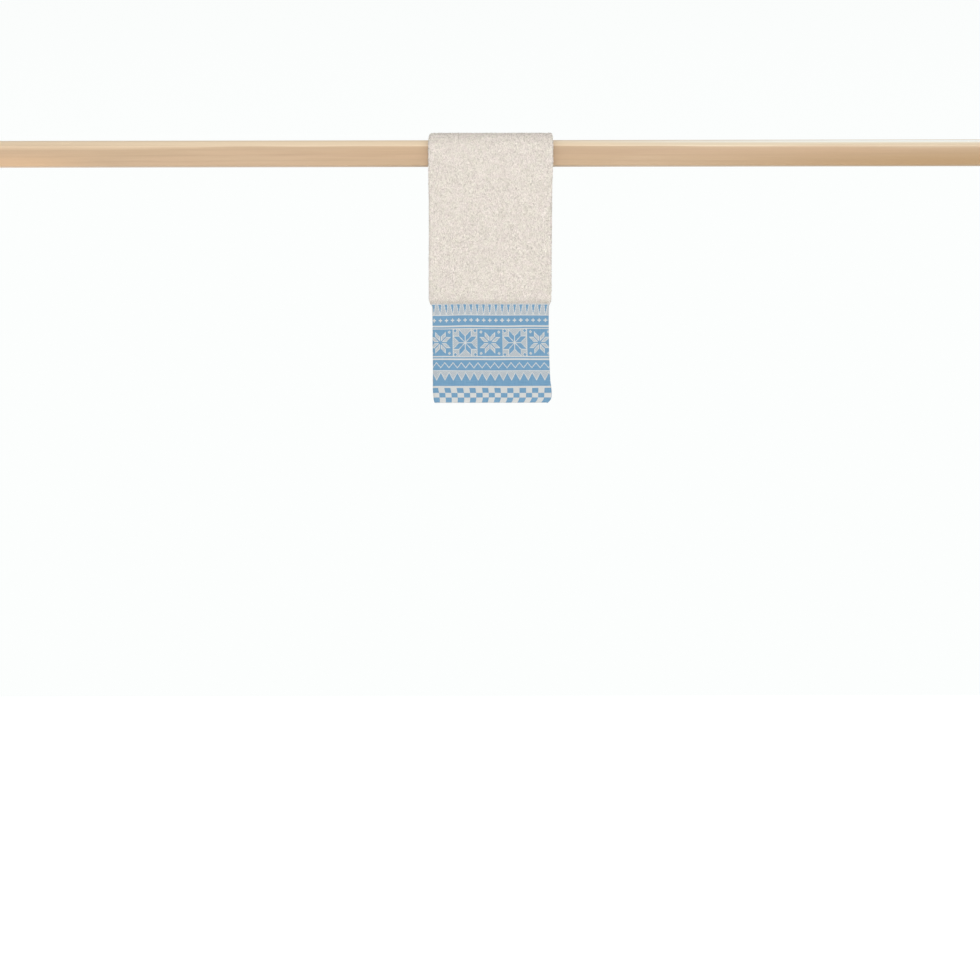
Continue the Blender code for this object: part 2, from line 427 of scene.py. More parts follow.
# %% Patches of colour
PATCH_SLOPE, FIBRE_SLOPE, STREAK_SLOPE = (0.35, 0.65), (0.35, 0.75), (0.45, 0.70)
RING_SHARE, FIBRE_SHARE, STREAK_SHARE = 0.30, 0.40, 0.35
HONEY_RIGHT, HONEY_DOWN = (0.05, 0.50), (0.011, -0.012)
HONEY_WAVE = 0.01  # metres by which streaks shift the honey's upper border
HONEY_SHARE = 0.92
CLOTH_SHADE_SLOPE, CLOTH_SHADE_SHARE = (0.26, 0.10), 0.22  # painted shade beside the cloth, in honey, in the middle
WARM_LEFT, WARM_DOWN, WARM_SHARE = (-0.40, -0.52), (0.001, -0.010), 0.8
CLOTH_SHADE_FAR, CLOTH_SHADE_NEAR = (0.27, 0.15), (0.00, 0.05)  # painted shade beside the cloth, in tan; it sets in from both sides
CLOTH_SHADE_UP, CLOTH_SHADE_TAN_SHARE = (-0.006, 0.002), 0.45
PORE_SLOPE, PORE_SHARE, END_RING_SHARE = (0.35, 0.70), 0.30, 0.65

base = mixed(ramp(patch, *PATCH_SLOPE), WOOD_PALE, WOOD_PEACH)
grain = late_wood * RING_SHARE + ramp(fibre, *FIBRE_SLOPE) * FIBRE_SHARE
grain = grain + ramp(streak, *STREAK_SLOPE) * STREAK_SHARE
base = mixed(grain, base, WOOD_TAN_AND_SHADE)
off_middle = maths("ABSOLUTE", along_x)
honey_and_shade = ramp(along_x, *HONEY_RIGHT)
honey_and_shade = honey_and_shade * ramp(along_z + (streak - 0.5) * HONEY_WAVE, *HONEY_DOWN) * HONEY_SHARE
# Painted shade: beside the cloth the wood is painted darker, in honey.
honey_and_shade = most(honey_and_shade, ramp(off_middle, *CLOTH_SHADE_SLOPE) * CLOTH_SHADE_SHARE)
base = mixed(honey_and_shade, base, WOOD_HONEY_AND_SHADE)
warm = ramp(along_x, *WARM_LEFT) * ramp(along_z, *WARM_DOWN)
base = mixed(warm * WARM_SHARE, base, WOOD_WARM)
# Painted shade, in tan, on the upper face to the right of the cloth.
cloth_shade = ramp(along_x, *CLOTH_SHADE_FAR) * ramp(along_x, *CLOTH_SHADE_NEAR) * ramp(along_z, *CLOTH_SHADE_UP)
base = mixed(cloth_shade * CLOTH_SHADE_TAN_SHARE, base, WOOD_TAN_AND_SHADE)
end_grain = late_wood * END_RING_SHARE + ramp(pores, *PORE_SLOPE) * PORE_SHARE
base = mixed(on_end * end_grain, base, WOOD_END)
print("the wood is mixed from", len(tree.nodes), "nodes so far")

# %% [markdown]
# The chamfers carry a painted highlight, the sheen that light from above lays on them: they are
# painted paler, along a line that wanders a little, and to the right the very front corner is
# painted near white, a painted highlight where that light glares. A thin satin coat, the same
# everywhere, stands for what is left of the varnish.

# %% Painted highlight on the chamfers
HIGHLIGHT_LINE = shoulder - RAIL_CHAMFER - 0.0006
LINE_STRETCH = (3.0, 1, 1)
LINE_WANDER = 0.003  # metres between the line's highest and lowest places
LEFT_SLOPE, LEFT_LIFT = (-0.26, -0.50), 0.0006  # at the left the line lies higher
SHARP_BLEND, BLEND_ABOVE = 0.0008, 0.8  # the line fades over this below it, and less above
SIDE_SLOPE, SIDE_BLEND = (0.20, 0.50), 0.0030  # it is softer away from the middle
LEFT_BLEND = 0.0030  # and softest at the left
HIGHLIGHT_SHARE, LEFT_LESS = 0.85, 0.10
HIGHLIGHT_TAIL_SLOPE, HIGHLIGHT_TAIL_SHARE = (-0.0060, 0.0), 0.12  # a faint painted highlight well below the line
HIGHLIGHT_RIGHT_SLOPE = (0.05, 0.25)

wander = noise(tree, stretched(tree, place, LINE_STRETCH), scale=2.0, detail=1.0)
at_left = ramp(along_x, *LEFT_SLOPE)
up = along_z + (wander - 0.5) * LINE_WANDER - at_left * LEFT_LIFT - HIGHLIGHT_LINE
blend = ramp(off_middle, *SIDE_SLOPE) * SIDE_BLEND + at_left * LEFT_BLEND + SHARP_BLEND
# Painted highlight: the chamfers are painted paler along the wandering line.
painted_highlight = ramp(up, 0 - blend, blend * BLEND_ABOVE) * (HIGHLIGHT_SHARE - at_left * LEFT_LESS)
painted_highlight = painted_highlight + ramp(up, *HIGHLIGHT_TAIL_SLOPE) * HIGHLIGHT_TAIL_SHARE
highlight_colour = mixed(ramp(along_x, *HIGHLIGHT_RIGHT_SLOPE), WOOD_PAINTED_HIGHLIGHT, WOOD_PAINTED_HIGHLIGHT_RIGHT)
base = mixed(painted_highlight * (1 - on_end), base, highlight_colour)
print("the rubbed line lies", round(HIGHLIGHT_LINE * 1000, 1), "mm above the rail's axis")

# %% Painted glare on the corner, and coat
GLARE_RIGHT = (-0.02, 0.46)
GLARE_UP = (shoulder - 0.0032, shoulder + 0.0002)
GLARE_TOP = (shoulder + 0.0015, shoulder + 0.0007)  # it ends on the rounded top
GLARE_FRONT = (0, -0.005)  # and only the front corner has it
GLARE_CORNER_UP = (shoulder - 0.0003, shoulder + 0.0004)
ROUGHNESS_SLOPE, ROUGHNESS_SWING, LEAST_ROUGHNESS = (0.2, 0.8), 0.12, 0.52
COAT, COAT_ROUGHNESS = 0.15, 0.45
GRAIN_DEPTH, RING_RELIEF = 0.00012, 0.6  # metres, and a ring's share of it

# The upper front corner to the right is painted near white: a painted highlight where the light
# glares.
painted_glare = ramp(along_z, *GLARE_UP) * ramp(along_x, *GLARE_RIGHT)
painted_glare = painted_glare * ramp(along_z, *GLARE_TOP) * ramp(along_y, *GLARE_FRONT)
glare_colour = mixed(ramp(along_z, *GLARE_CORNER_UP), WOOD_PAINTED_GLARE, WOOD_PAINTED_GLARE_CORNER)
base = mixed(painted_glare * (1 - on_end), base, glare_colour)
tree.links.new(base, shader.inputs["Base Color"])
grain_roughness = ramp(fibre, *ROUGHNESS_SLOPE) * ROUGHNESS_SWING + LEAST_ROUGHNESS
tree.links.new(grain_roughness.socket, shader.inputs["Roughness"])
shader.inputs["Coat Weight"].default_value = COAT
shader.inputs["Coat Roughness"].default_value = COAT_ROUGHNESS
relief = fibre + late_wood * RING_RELIEF
add_bump(tree, shader, relief, distance=GRAIN_DEPTH, strength=0.6)

rail.data.materials.append(wood)
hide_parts("rail")
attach(rail, "root")
print("the rail wears", wood.name, "of", len(tree.nodes), "nodes")

# %% [markdown]
# ## How the cloth is folded and hung
#
# The towel is one sheet, 0.40 m wide and 0.60 m long, and two things happen to it. Across its
# width it is folded in three like a letter. Along its length it hangs down the front, turns over
# the rail and hangs down the back. So a place on the cloth needs only two numbers: `along`, the
# distance from the front hem, and `place`, which runs from 0 to 5 through the innermost layer,
# the outer fold, the front layer, the right fold and the middle layer. The table below gives the
# outline and the thickness of a layer at each distance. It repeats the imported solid's own sizes,
# but for some rows that are up to 1.2 mm narrower: at the hem's right corner, which is rounder
# here, and where the loops stand out past the cloth.
#
# Where the towel lies on the rail its own weight presses the layers together. `PRESS_TOP` and
# `PRESS_SHOULDER` say by how much, on top of the rail and where the cloth turns down.

# %% Sizes of the folded towel
Cloth = namedtuple("Cloth", "layer gap")  # a layer's thickness and the gap to the next
TERRY = Cloth(0.00245, 0.00030)
PILE_EDGE = Cloth(0.00200, 0.00040)
WOVEN = Cloth(0.00120, 0.00060)
STITCHED = Cloth(0.00150, 0.00050)
HEM = Cloth(0.00230, 0.00040)
HEM_EDGE = Cloth(0.00190, 0.00040)

TOWEL_WIDTH = 0.400
TOWEL_LENGTH = 0.600
FRONT_PILE = 0.1085  # where the loops begin, from the front hem
BACK_PILE = 0.4905  # where they end
SEAT_GAP = 0.0003  # between the rail's top and the cloth
SIDE_GAP = 0.0022  # between the rail's sides and the hanging legs
INNER_BEND = 0.0080  # radius of the innermost face where it turns down
FRONT_DROP = 0.2740  # of the front hem below the rail's axis
LOOSE_EDGE_IN = 0.0050  # the innermost layer's edge, in from the right fold
TUCKED_EDGE_IN = 0.0010  # the middle layer's edge, in from the left fold

# Left and right are metres from the towel's middle to its two sides, as folded.
Section = namedtuple("Section", "along left right cloth")
SECTIONS = (
    Section(0.0000, 0.0614, 0.0622, HEM_EDGE),
    Section(0.0045, 0.0625, 0.0659, HEM),
    Section(0.0105, 0.0631, 0.0666, HEM),
    Section(0.0175, 0.0634, 0.0661, STITCHED),
    Section(0.0240, 0.0631, 0.0651, WOVEN),
    Section(0.0630, 0.0635, 0.0637, WOVEN),
    Section(0.1050, 0.0640, 0.0637, WOVEN),
    Section(FRONT_PILE, 0.0661, 0.0652, PILE_EDGE),
    Section(0.1140, 0.0678, 0.0668, TERRY),
    Section(0.1680, 0.0678, 0.0666, TERRY),
    Section(0.2120, 0.0677, 0.0667, TERRY),
    Section(0.2540, 0.0682, 0.0686, TERRY),
    Section(0.2880, 0.0682, 0.0690, TERRY),
    Section(0.2980, 0.0670, 0.0677, TERRY),
    Section(0.3170, 0.0670, 0.0677, TERRY),
    Section(0.3270, 0.0681, 0.0688, TERRY),
    Section(0.3600, 0.0682, 0.0685, TERRY),
    Section(0.4850, 0.0673, 0.0671, TERRY),
    Section(BACK_PILE, 0.0660, 0.0658, PILE_EDGE),
    Section(0.4940, 0.0641, 0.0640, WOVEN),
    Section(0.5760, 0.0634, 0.0636, WOVEN),
    Section(0.5825, 0.0636, 0.0638, STITCHED),
    Section(0.5900, 0.0639, 0.0642, HEM),
    Section(TOWEL_LENGTH, 0.0628, 0.0630, HEM_EDGE),
)

PRESS_TOP = 0.00027  # by which each layer lies closer to the next on top of the rail
PRESS_SHOULDER = 0.00065  # and where it turns over the rail's front and back
PRESS_REACH = 0.018  # the pressing sets in this far below the turn
PRESS_PEAK = 0.003  # is strongest this far round it
PRESS_FADE = 0.013  # and over this length eases to what it is on top
LAST_ZONE = 4  # of the five that a place runs through

STACK_HALF = TERRY.layer * 1.5 + TERRY.gap
BEND = INNER_BEND + STACK_HALF
BEND_Y = RAIL_DEPTH / 2 + SIDE_GAP - INNER_BEND
BEND_Z = rail_high.z + SEAT_GAP - INNER_BEND
QUARTER_TURN = BEND * math.pi / 2
FRONT_LEG = FRONT_DROP + BEND_Z
TOP_START = FRONT_LEG + QUARTER_TURN
TOP_END = TOP_START + 2 * BEND_Y
BACK_LEG_START = TOP_END + QUARTER_TURN
print("front leg", round(FRONT_LEG, 4), "m, back leg", round(TOWEL_LENGTH - BACK_LEG_START, 4), "m")

# %% [markdown]
# The next functions turn those two numbers into a point. `section_at` reads the table on a smooth
# curve. `cloth_line` follows one section through its three layers and says which way the outer
# face looks. `drape` carries a section down the front, over the rail and down the back.

# %% Between the rows of the table
ROUNDING = 1e-9  # metres, so that the last row is found in spite of rounding


def between(a, b, share):
    """The number that lies this share of the way from a to b."""
    return a + (b - a) * share


def eased(share):
    """The same share on a curve that starts and ends gently."""
    return share * share * (3 - 2 * share)


def slope_at(index, side):
    """How fast the reach on this side changes at a row, from the rows before and after it."""
    before = SECTIONS[max(index - 1, 0)]
    after = SECTIONS[min(index + 1, len(SECTIONS) - 1)]
    return (getattr(after, side) - getattr(before, side)) / (after.along - before.along)


def pressed(along):
    """How much of each gap between layers the cloth's own weight takes up near the rail."""
    before = min(along - FRONT_LEG, BACK_LEG_START - along)
    onto = eased(min(max((before + PRESS_REACH) / (PRESS_REACH + PRESS_PEAK), 0), 1))
    past = eased(min(max((before - PRESS_PEAK) / PRESS_FADE, 0), 1))
    return onto * between(PRESS_SHOULDER, PRESS_TOP, past)


def section_at(along):
    """The table's values at this distance, on a smooth curve through its rows."""
    index = next(i for i, row in enumerate(SECTIONS[1:]) if along <= row.along + ROUNDING)
    before, after = SECTIONS[index], SECTIONS[index + 1]
    span = after.along - before.along
    share = (along - before.along) / span
    reach = []
    for side in ("left", "right"):
        lead = slope_at(index, side) * share * (1 - share) ** 2
        trail = slope_at(index + 1, side) * (1 - share) * share**2
        straight = between(getattr(before, side), getattr(after, side), eased(share))
        reach.append(straight + span * (lead - trail))
    layer, gap = (between(a, b, eased(share)) for a, b in zip(before.cloth, after.cloth))
    return Section(along, *reach, Cloth(layer, gap - pressed(along)))


# %% From a place on the cloth to a point in space


def cloth_line(section, place):
    """The cloth's middle at one place, as x and out, and the direction of its outer face."""
    pitch = section.cloth.layer + section.cloth.gap
    half = section.cloth.layer / 2
    left = pitch + half - section.left
    right = section.right - pitch / 2 - half
    zone = min(int(place), LAST_ZONE)
    share = place - zone
    turn = math.pi * share
    if zone == 0:
        return between(section.right - LOOSE_EDGE_IN, left, share), -pitch, (0, -1)
    if zone == 1:
        side = (-math.sin(turn), -math.cos(turn))
        return left + pitch * side[0], pitch * side[1], side
    if zone == 2:
        return between(left, right, share), pitch, (0, 1)
    if zone == 3:
        side = (math.sin(turn), math.cos(turn))
        return right + pitch / 2 * side[0], pitch / 2 * (1 + side[1]), side
    return between(right, left + TUCKED_EDGE_IN, share), 0.0, (0, -1)


def drape(along):
    """Where the middle layer hangs at this distance, and which way is outward: y, z, (y, z)."""
    if along <= FRONT_LEG:
        return -BEND_Y - BEND, BEND_Z - (FRONT_LEG - along), (-1, 0)
    if along <= TOP_START:
        angle = (along - FRONT_LEG) / BEND
        out = (-math.cos(angle), math.sin(angle))
        return -BEND_Y + BEND * out[0], BEND_Z + BEND * out[1], out
    if along <= TOP_END:
        return along - TOP_START - BEND_Y, BEND_Z + BEND, (0, 1)
    if along <= BACK_LEG_START:
        angle = (along - TOP_END) / BEND
        out = (math.sin(angle), math.cos(angle))
        return BEND_Y + BEND * out[0], BEND_Z + BEND * out[1], out
    return BEND_Y + BEND, BEND_Z - (along - BACK_LEG_START), (1, 0)


# %% [markdown]
# A towel never hangs as flat as a board. Three kinds of unevenness are added, the same for all
# three layers so that they never cross. `sway` tips the foot of each leg out or in. `CURLS` bends
# the two long sides a little towards the rail. `CREASES` is a short table of soft troughs and
# ridges, each a long low dent of its own size, placed where the photo shows a little shade: under
# the rail, above the border and beside the hem.

# %% Soft unevenness
Sway = namedtuple("Sway", "left middle right")
FRONT_SWAY = Sway(-0.0010, 0.0008, 0.0016)
BACK_SWAY = Sway(0.0010, -0.0004, -0.0008)
SWAY_REACH = 0.065  # from the towel's middle to the sides, where left and right are given

Curl = namedtuple("Curl", "sign start width depth")
CURLS = (Curl(-1, 0.0570, 0.0100, 0.0014), Curl(1, 0.0600, 0.0080, 0.0004))
CURL_FADE = 0.040  # metres below the rail, over which the curl sets in

# A crease has its middle, its sizes across and lengthwise, its turn in radians and its depth,
# which is below zero in a trough.
Crease = namedtuple("Crease", "x along half_width reach lean depth")
CREASE_END = 0.12  # metres along the cloth, past which a crease isn't felt
CREASES = (
    Crease(-0.030, 0.262, 0.0090, 0.030, 1.35, -0.00045),  # under the rail, left
    Crease(0.034, 0.250, 0.0110, 0.034, -1.25, -0.00040),  # under the rail, right
    Crease(0.012, 0.200, 0.0180, 0.060, 0.25, 0.00035),  # a soft ridge down the front
    Crease(-0.036, 0.170, 0.0140, 0.045, -0.20, -0.00035),  # beside it, a trough
    Crease(-0.010, 0.121, 0.0050, 0.055, 1.50, -0.00050),  # just above the border
    Crease(-0.044, 0.040, 0.0060, 0.026, 0.15, 0.00040),  # the border, left
    Crease(0.020, 0.060, 0.0080, 0.034, -0.10, -0.00035),  # the border, middle
    Crease(0.050, 0.030, 0.0060, 0.024, 0.10, 0.00045),  # by the right corner
    Crease(-0.018, 0.400, 0.0150, 0.060, 0.10, 0.00050),  # down the back
    Crease(0.030, 0.450, 0.0120, 0.050, -0.15, -0.00045),
    Crease(0.000, 0.545, 0.0100, 0.036, 0.05, 0.00040),
)


def rolled_sides(x, along):
    """How far the two long sides curl back towards the rail, which they do below it only."""
    below = max(FRONT_LEG - along, along - BACK_LEG_START, 0) / CURL_FADE
    curl = sum(
        side.depth * max(0, (side.sign * x - side.start) / side.width) ** 2 for side in CURLS
    )
    return -eased(min(below, 1)) * curl


def creases(x, along):
    """How far the soft troughs and ridges lift the cloth at this place."""
    lift = rolled_sides(x, along)
    for crease in CREASES:
        dx, dy = x - crease.x, along - crease.along
        if abs(dy) < CREASE_END:
            down = dy * math.cos(crease.lean) + dx * math.sin(crease.lean)
            over = dx * math.cos(crease.lean) - dy * math.sin(crease.lean)
            fall = (over / crease.half_width) ** 2 + (down / crease.reach) ** 2
            lift += crease.depth * math.exp(-fall)
    return lift


def sway(x, along):
    """How far a leg is tipped outward at this place, more the nearer it is to its foot."""
    if along <= FRONT_LEG:
        foot, share = FRONT_SWAY, 1 - along / FRONT_LEG
    elif along >= BACK_LEG_START:
        foot = BACK_SWAY
        share = (along - BACK_LEG_START) / (TOWEL_LENGTH - BACK_LEG_START)
    else:
        return 0.0
    across = x / SWAY_REACH
    tilt = (foot.right - foot.left) / 2
    bow = (foot.right + foot.left) / 2 - foot.middle
    return eased(share) * (foot.middle + tilt * across + bow * across * across)


def on_cloth(section, place, lift):
    """The point at this place of the section, lifted off the cloth's middle by lift."""
    x, out, side = cloth_line(section, place)
    x += side[0] * lift
    out += side[1] * lift + sway(x, section.along) + creases(x, section.along)
    out -= pressed(section.along)
    y, z, outward = drape(section.along)
    return x, y + out * outward[0], z + out * outward[1]


hem_middle = on_cloth(section_at(0), place=2.5, lift=0)
print("the middle of the front hem hangs at", [round(value, 4) for value in hem_middle])


# %% [markdown]
# Every sheet that follows the cloth is a grid: one row of points for each distance, one point for
# each place. The primitive gives the faces, and the functions above give each point its position.
# The grid also gets a map called `cloth`, which holds the flat cloth's own coordinates in metres.
# A pattern that reads it stays in the weave wherever the cloth is folded or bent.

# %% A grid laid on the cloth
ZONE_WIDTHS = (0.1277, 0.0086, 0.1302, 0.0043, 0.1292)  # the five zones, laid flat


def flat_across(place):
    """Metres from the innermost layer's edge, on the cloth laid flat."""
    zone = min(int(place), LAST_ZONE)
    return sum(ZONE_WIDTHS[:zone]) + ZONE_WIDTHS[zone] * (place - zone)


def cloth_grid(name, rows, places, lift):
    """A grid with a row of points for each distance and a point for each place in it."""
    bpy.ops.object.select_all(action="DESELECT")
    bpy.ops.mesh.primitive_grid_add(
        x_subdivisions=len(places) - 1, y_subdivisions=len(rows) - 1, size=1
    )
    grid = bpy.context.object
    grid.name = name
    sections = [section_at(along) for along in rows]
    points = np.array([on_cloth(s, place, lift) for s in sections for place in places])
    grid.data.vertices.foreach_set("co", points.ravel())
    flat = np.array([(flat_across(place), along) for along in rows for place in places])
    corners = np.empty(len(grid.data.loops), int)
    grid.data.loops.foreach_get("vertex_index", corners)
    cloth_map = grid.data.uv_layers[0]
    cloth_map.name = "cloth"
    cloth_map.data.foreach_set("uv", flat[corners].ravel())
    return grid


def steps(start, end, gap):
    """Evenly spaced numbers from start to end, about this far apart."""
    return list(np.linspace(start, end, max(2, round(abs(end - start) / gap) + 1)))


# %% [markdown]
# ## The cloth itself
#
# Under the loops lies a thin woven ground. We lay one grid over the whole towel, fine where the
# cloth bends or changes thickness, and give it body with a Solidify modifier. A vertex group holds
# each point's share of the thickness: full in the turned hem, less in the flat border, and least
# in the terry, because the loops that stand on it come later. The two long edges are woven a
# little thicker again, as a selvedge is. A turned hem is a fold of cloth, so its edge is round:
# three extra rows at each end follow half a circle down to a blunt tip.

# %% Towel sheet
GROUND = 0.00080  # thickness under the loops
SELVEDGE = 0.00150  # and at the two long edges
SELVEDGE_PLACES = (0.03, 4.97)  # the selvedges lie before and after these
STEP = 0.0030  # along the cloth, from the flat weave to the ground under the loops
ROW_GAP = 0.0040  # between rows of points on the straight cloth
FINE_ROW_GAP = 0.0010  # where its thickness changes
BEND_ROW_GAP = 0.0013  # and where it turns over the rail
BEND_MARGIN = 0.002  # before and after a bend, where its own rows take over
PLACE_COUNTS = (32, 14, 32, 12, 32)  # points in each of the five zones
HEM_ROUND = HEM_EDGE.layer / 2  # radius of the turned hem's edge
HEM_ROWS = (0.07, 0.25, 0.55)  # shares of that radius, where extra rows lie
BLUNT = 0.25  # share of the thickness that is left at the very edge
SHEET_SMOOTH = math.radians(50)

rows = set()
for before, after in zip(SECTIONS, SECTIONS[1:]):
    changes = before.cloth != after.cloth
    rows.update(steps(before.along, after.along, FINE_ROW_GAP if changes else ROW_GAP))
bend_low, bend_high = FRONT_LEG - BEND_MARGIN, BACK_LEG_START + BEND_MARGIN
rows = {row for row in rows if not bend_low < row < bend_high}
rows.update(steps(FRONT_LEG, BACK_LEG_START, BEND_ROW_GAP))
for share in HEM_ROWS:
    rows.update((HEM_ROUND * share, TOWEL_LENGTH - HEM_ROUND * share))
rows = sorted(rows)
places = [zone + i / count for zone, count in enumerate(PLACE_COUNTS) for i in range(count)]
places.append(5.0)

towel = cloth_grid("towel_cloth", rows, places, lift=0.0)
print("towel grid:", len(rows), "rows of", len(places), "points")

# %% Thickness of the sheet


def body_at(along, place):
    """How thick the sheet is here: the bare ground where loops stand on it."""
    inside = min(along - FRONT_PILE, BACK_PILE - along)
    if inside < -STEP:
        to_edge = 1 - min(min(along, TOWEL_LENGTH - along) / HEM_ROUND, 1)
        return section_at(along).cloth.layer * max(math.sqrt(1 - to_edge**2), BLUNT)
    selvedge = not SELVEDGE_PLACES[0] < place < SELVEDGE_PLACES[1]
    thin = SELVEDGE if selvedge else GROUND
    return between(WOVEN.layer, thin, eased(min(max(inside / STEP, 0), 1)))


thickest = HEM.layer
group = towel.vertex_groups.new(name="thickness")
for row, along in enumerate(rows):
    for column, place in enumerate(places):
        index = row * len(places) + column
        group.add([index], body_at(along, place) / thickest, "REPLACE")
print("the sheet is", GROUND * 1000, "mm thick under the loops,", thickest * 1000, "in the hems")

# %% Which face gets which finish, then the body
PLAIN, BORDER, UNDER_PILE = 0, 1, 2

for index, face in enumerate(towel.data.polygons):
    row, column = divmod(index, len(places) - 1)
    selvedge = not SELVEDGE_PLACES[0] <= places[column] < SELVEDGE_PLACES[1]
    if rows[row] < FRONT_PILE - CLOSE:
        face.material_index = BORDER
    elif rows[row] >= BACK_PILE - CLOSE or selvedge:
        face.material_index = PLAIN
    else:
        face.material_index = UNDER_PILE

solid = towel.modifiers.new("body", "SOLIDIFY")
solid.thickness = thickest
solid.offset = 0
solid.vertex_group = group.name
bpy.ops.object.modifier_apply(modifier=solid.name)
bpy.ops.object.shade_smooth_by_angle(angle=SHEET_SMOOTH)
print("towel sheet:", len(towel.data.polygons), "faces")

# %% [markdown]
# ## Yarn and weave
#
# A woven border is drawn thread by thread, so its edges are tiny steps. We get that by snapping
# the cloth's coordinates to the thread spacing before any motif is drawn. Each motif is a distance
# in millimetres: below zero is blue yarn, just above zero is the clean cream line round it, and
# farther out lies the ground, cream with single blue threads showing through, which looks grey
# from a step away. The motifs are common woven ones: chequers, teeth, a zigzag, eight-pointed
# stars in boxes of both colours, and small crosses. No spun yarn is even: its thick and thin
# stretches, called slubs, give plain areas their faint streaks.

# %% Colours of the yarns
ECRU = (0.880, 0.812, 0.750, 1)
ECRU_ROSY = (0.972, 0.870, 0.842, 1)
ECRU_STRAW = (0.938, 0.906, 0.798, 1)
# Painted shade between the loops, on the ground under them.
PILE_GAP_SHADE = (0.530, 0.478, 0.428, 1)
# Deep oat yarn, which also gives the painted shade at the pile's end.
OAT_YARN_AND_SHADE = (0.400, 0.362, 0.325, 1)
CREAM_WARM_AND_SHADED = (0.610, 0.572, 0.530, 1)
CREAM_PALE_AND_LIT = (0.770, 0.722, 0.670, 1)
CREAM = (0.588, 0.586, 0.576, 1)
CREAM_SHADE = (0.468, 0.468, 0.460, 1)
BLUE = (0.098, 0.243, 0.402, 1)
BLUE_PALE_AND_LIT = (0.148, 0.304, 0.458, 1)
BLUE_GREY = (0.175, 0.290, 0.415, 1)  # a blue thread half sunk in the cream weave
THREAD = 0.50  # mm across the cloth
PICK = 0.45  # mm along the cloth
SLUB_STRETCH = Vector((70, 1500, 1))  # streaks 14 mm long and a thread or two wide
WEFT_SLUBS, WARP_SLUBS = 0.6, 0.4  # shares of the streaks
WEFT_RISE, WARP_RISE = 0.65, 0.35  # and of the weave's height

print("the weave has", round(10 / THREAD), "threads and", round(10 / PICK), "picks to the cm")


def cloth_millimetres(tree):
    """The flat cloth's coordinates as two fields: across and along, in millimetres."""
    uv = add_node(tree, "ShaderNodeUVMap", uv_map="cloth").outputs["UV"]
    split = add_node(tree, "ShaderNodeSeparateXYZ", {"Vector": uv})
    return Field(tree, split.outputs["X"]) * 1000, Field(tree, split.outputs["Y"]) * 1000


def slubs(tree):
    """Thick and thin stretches of yarn, as streaks along the weft and along the warp."""
    uv = add_node(tree, "ShaderNodeUVMap", uv_map="cloth").outputs["UV"]
    weft = noise(tree, stretched(tree, uv, SLUB_STRETCH), scale=1.0)
    warp = noise(tree, stretched(tree, uv, SLUB_STRETCH.yxz), scale=1.0)
    return weft * WEFT_SLUBS + warp * WARP_SLUBS


def weave_height(across, along):
    """The rise and fall of single threads, between 0 and 1."""
    weft = maths("ABSOLUTE", maths("SINE", along * (math.pi / PICK)))
    warp = maths("ABSOLUTE", maths("SINE", across * (math.pi / THREAD)))
    return weft * WEFT_RISE + warp * WARP_RISE


# %% Bands, chequers, teeth and zigzags, each a distance in millimetres
STARS_ACROSS = 14
REPEAT = TOWEL_WIDTH * 1000 / STARS_ACROSS
SMALL_REPEAT = REPEAT / 4


def from_centre(across, repeat):
    """Distance from the nearest motif's middle, for motifs that repeat across the cloth."""
    return maths("PINGPONG", across, repeat / 2)


def band(along, low, high):
    """A plain stripe from low to high."""
    return maths("ABSOLUTE", along - (low + high) / 2) - (high - low) / 2


def chequers(across, along, low, high, width, rows_high):
    """Rows of checks between low and high, each check this wide."""
    height = (high - low) / rows_high
    x = maths("PINGPONG", across, width) - width * 0.5
    y = maths("PINGPONG", along - low + height / 2, height) - height / 2
    return most(least(most(x, y), 0 - least(x, y)), band(along, low, high))


def teeth(across, along, foot, tip, repeat, width):
    """A row of triangles that stand on foot, this wide there, and point at tip."""
    upward = (along - foot) * (1 / (tip - foot))
    side = from_centre(across, repeat) - (1 - upward) * (width / 2)
    return most(side, band(along, min(foot, tip), max(foot, tip)))


def zigzag(across, along, middle, swing, repeat, width):
    """A line this wide that swings to both sides of its middle."""
    wave = (from_centre(across, repeat) * (4 / repeat) - 1) * swing
    return maths("ABSOLUTE", along - middle - wave) - width / 2


# %% Crosses and stars
DIAGONAL_SPLIT = 0.7  # makes a split on the diagonal as wide as one that lies straight
CORNER_X, CORNER_Y, CORNER_SIZE = 0.86, 0.97, 0.15  # in radii of the star


def crosses(across, along, middle, arm, width, repeat):
    """A row of upright crosses, with arms of this length and width."""
    x = from_centre(across, repeat)
    y = maths("ABSOLUTE", along - middle)
    return least(most(x - arm, y - width / 2), most(x - width / 2, y - arm))


def stars(across, along, middle, radius, split):
    """Eight lozenge petals round each centre, parted by fine lines, and four corner lozenges."""
    x = from_centre(across, REPEAT)
    y = maths("ABSOLUTE", along - middle)
    low = least(x, y)
    rest = most(x, y) - low
    straight, slanted = split / 2 - low, split * DIAGONAL_SPLIT - rest
    petals = most(most(low, rest) - radius / 2, straight, slanted)
    aside = maths("ABSOLUTE", x - radius * CORNER_X)
    above = maths("ABSOLUTE", y - radius * CORNER_Y)
    return least(petals, aside + above - radius * CORNER_SIZE)


# %% [markdown]
# The bands are stacked from the hem upward. `least` lays one blue motif beside the next, and
# turning a distance round with `0 - ...` inside `most` cuts a cream motif out of a solid band. The
# weft never lies quite straight, so the coordinates wander by a fraction of a millimetre first.
# Each band's lower and upper edge is given in millimetres from the hem's edge.

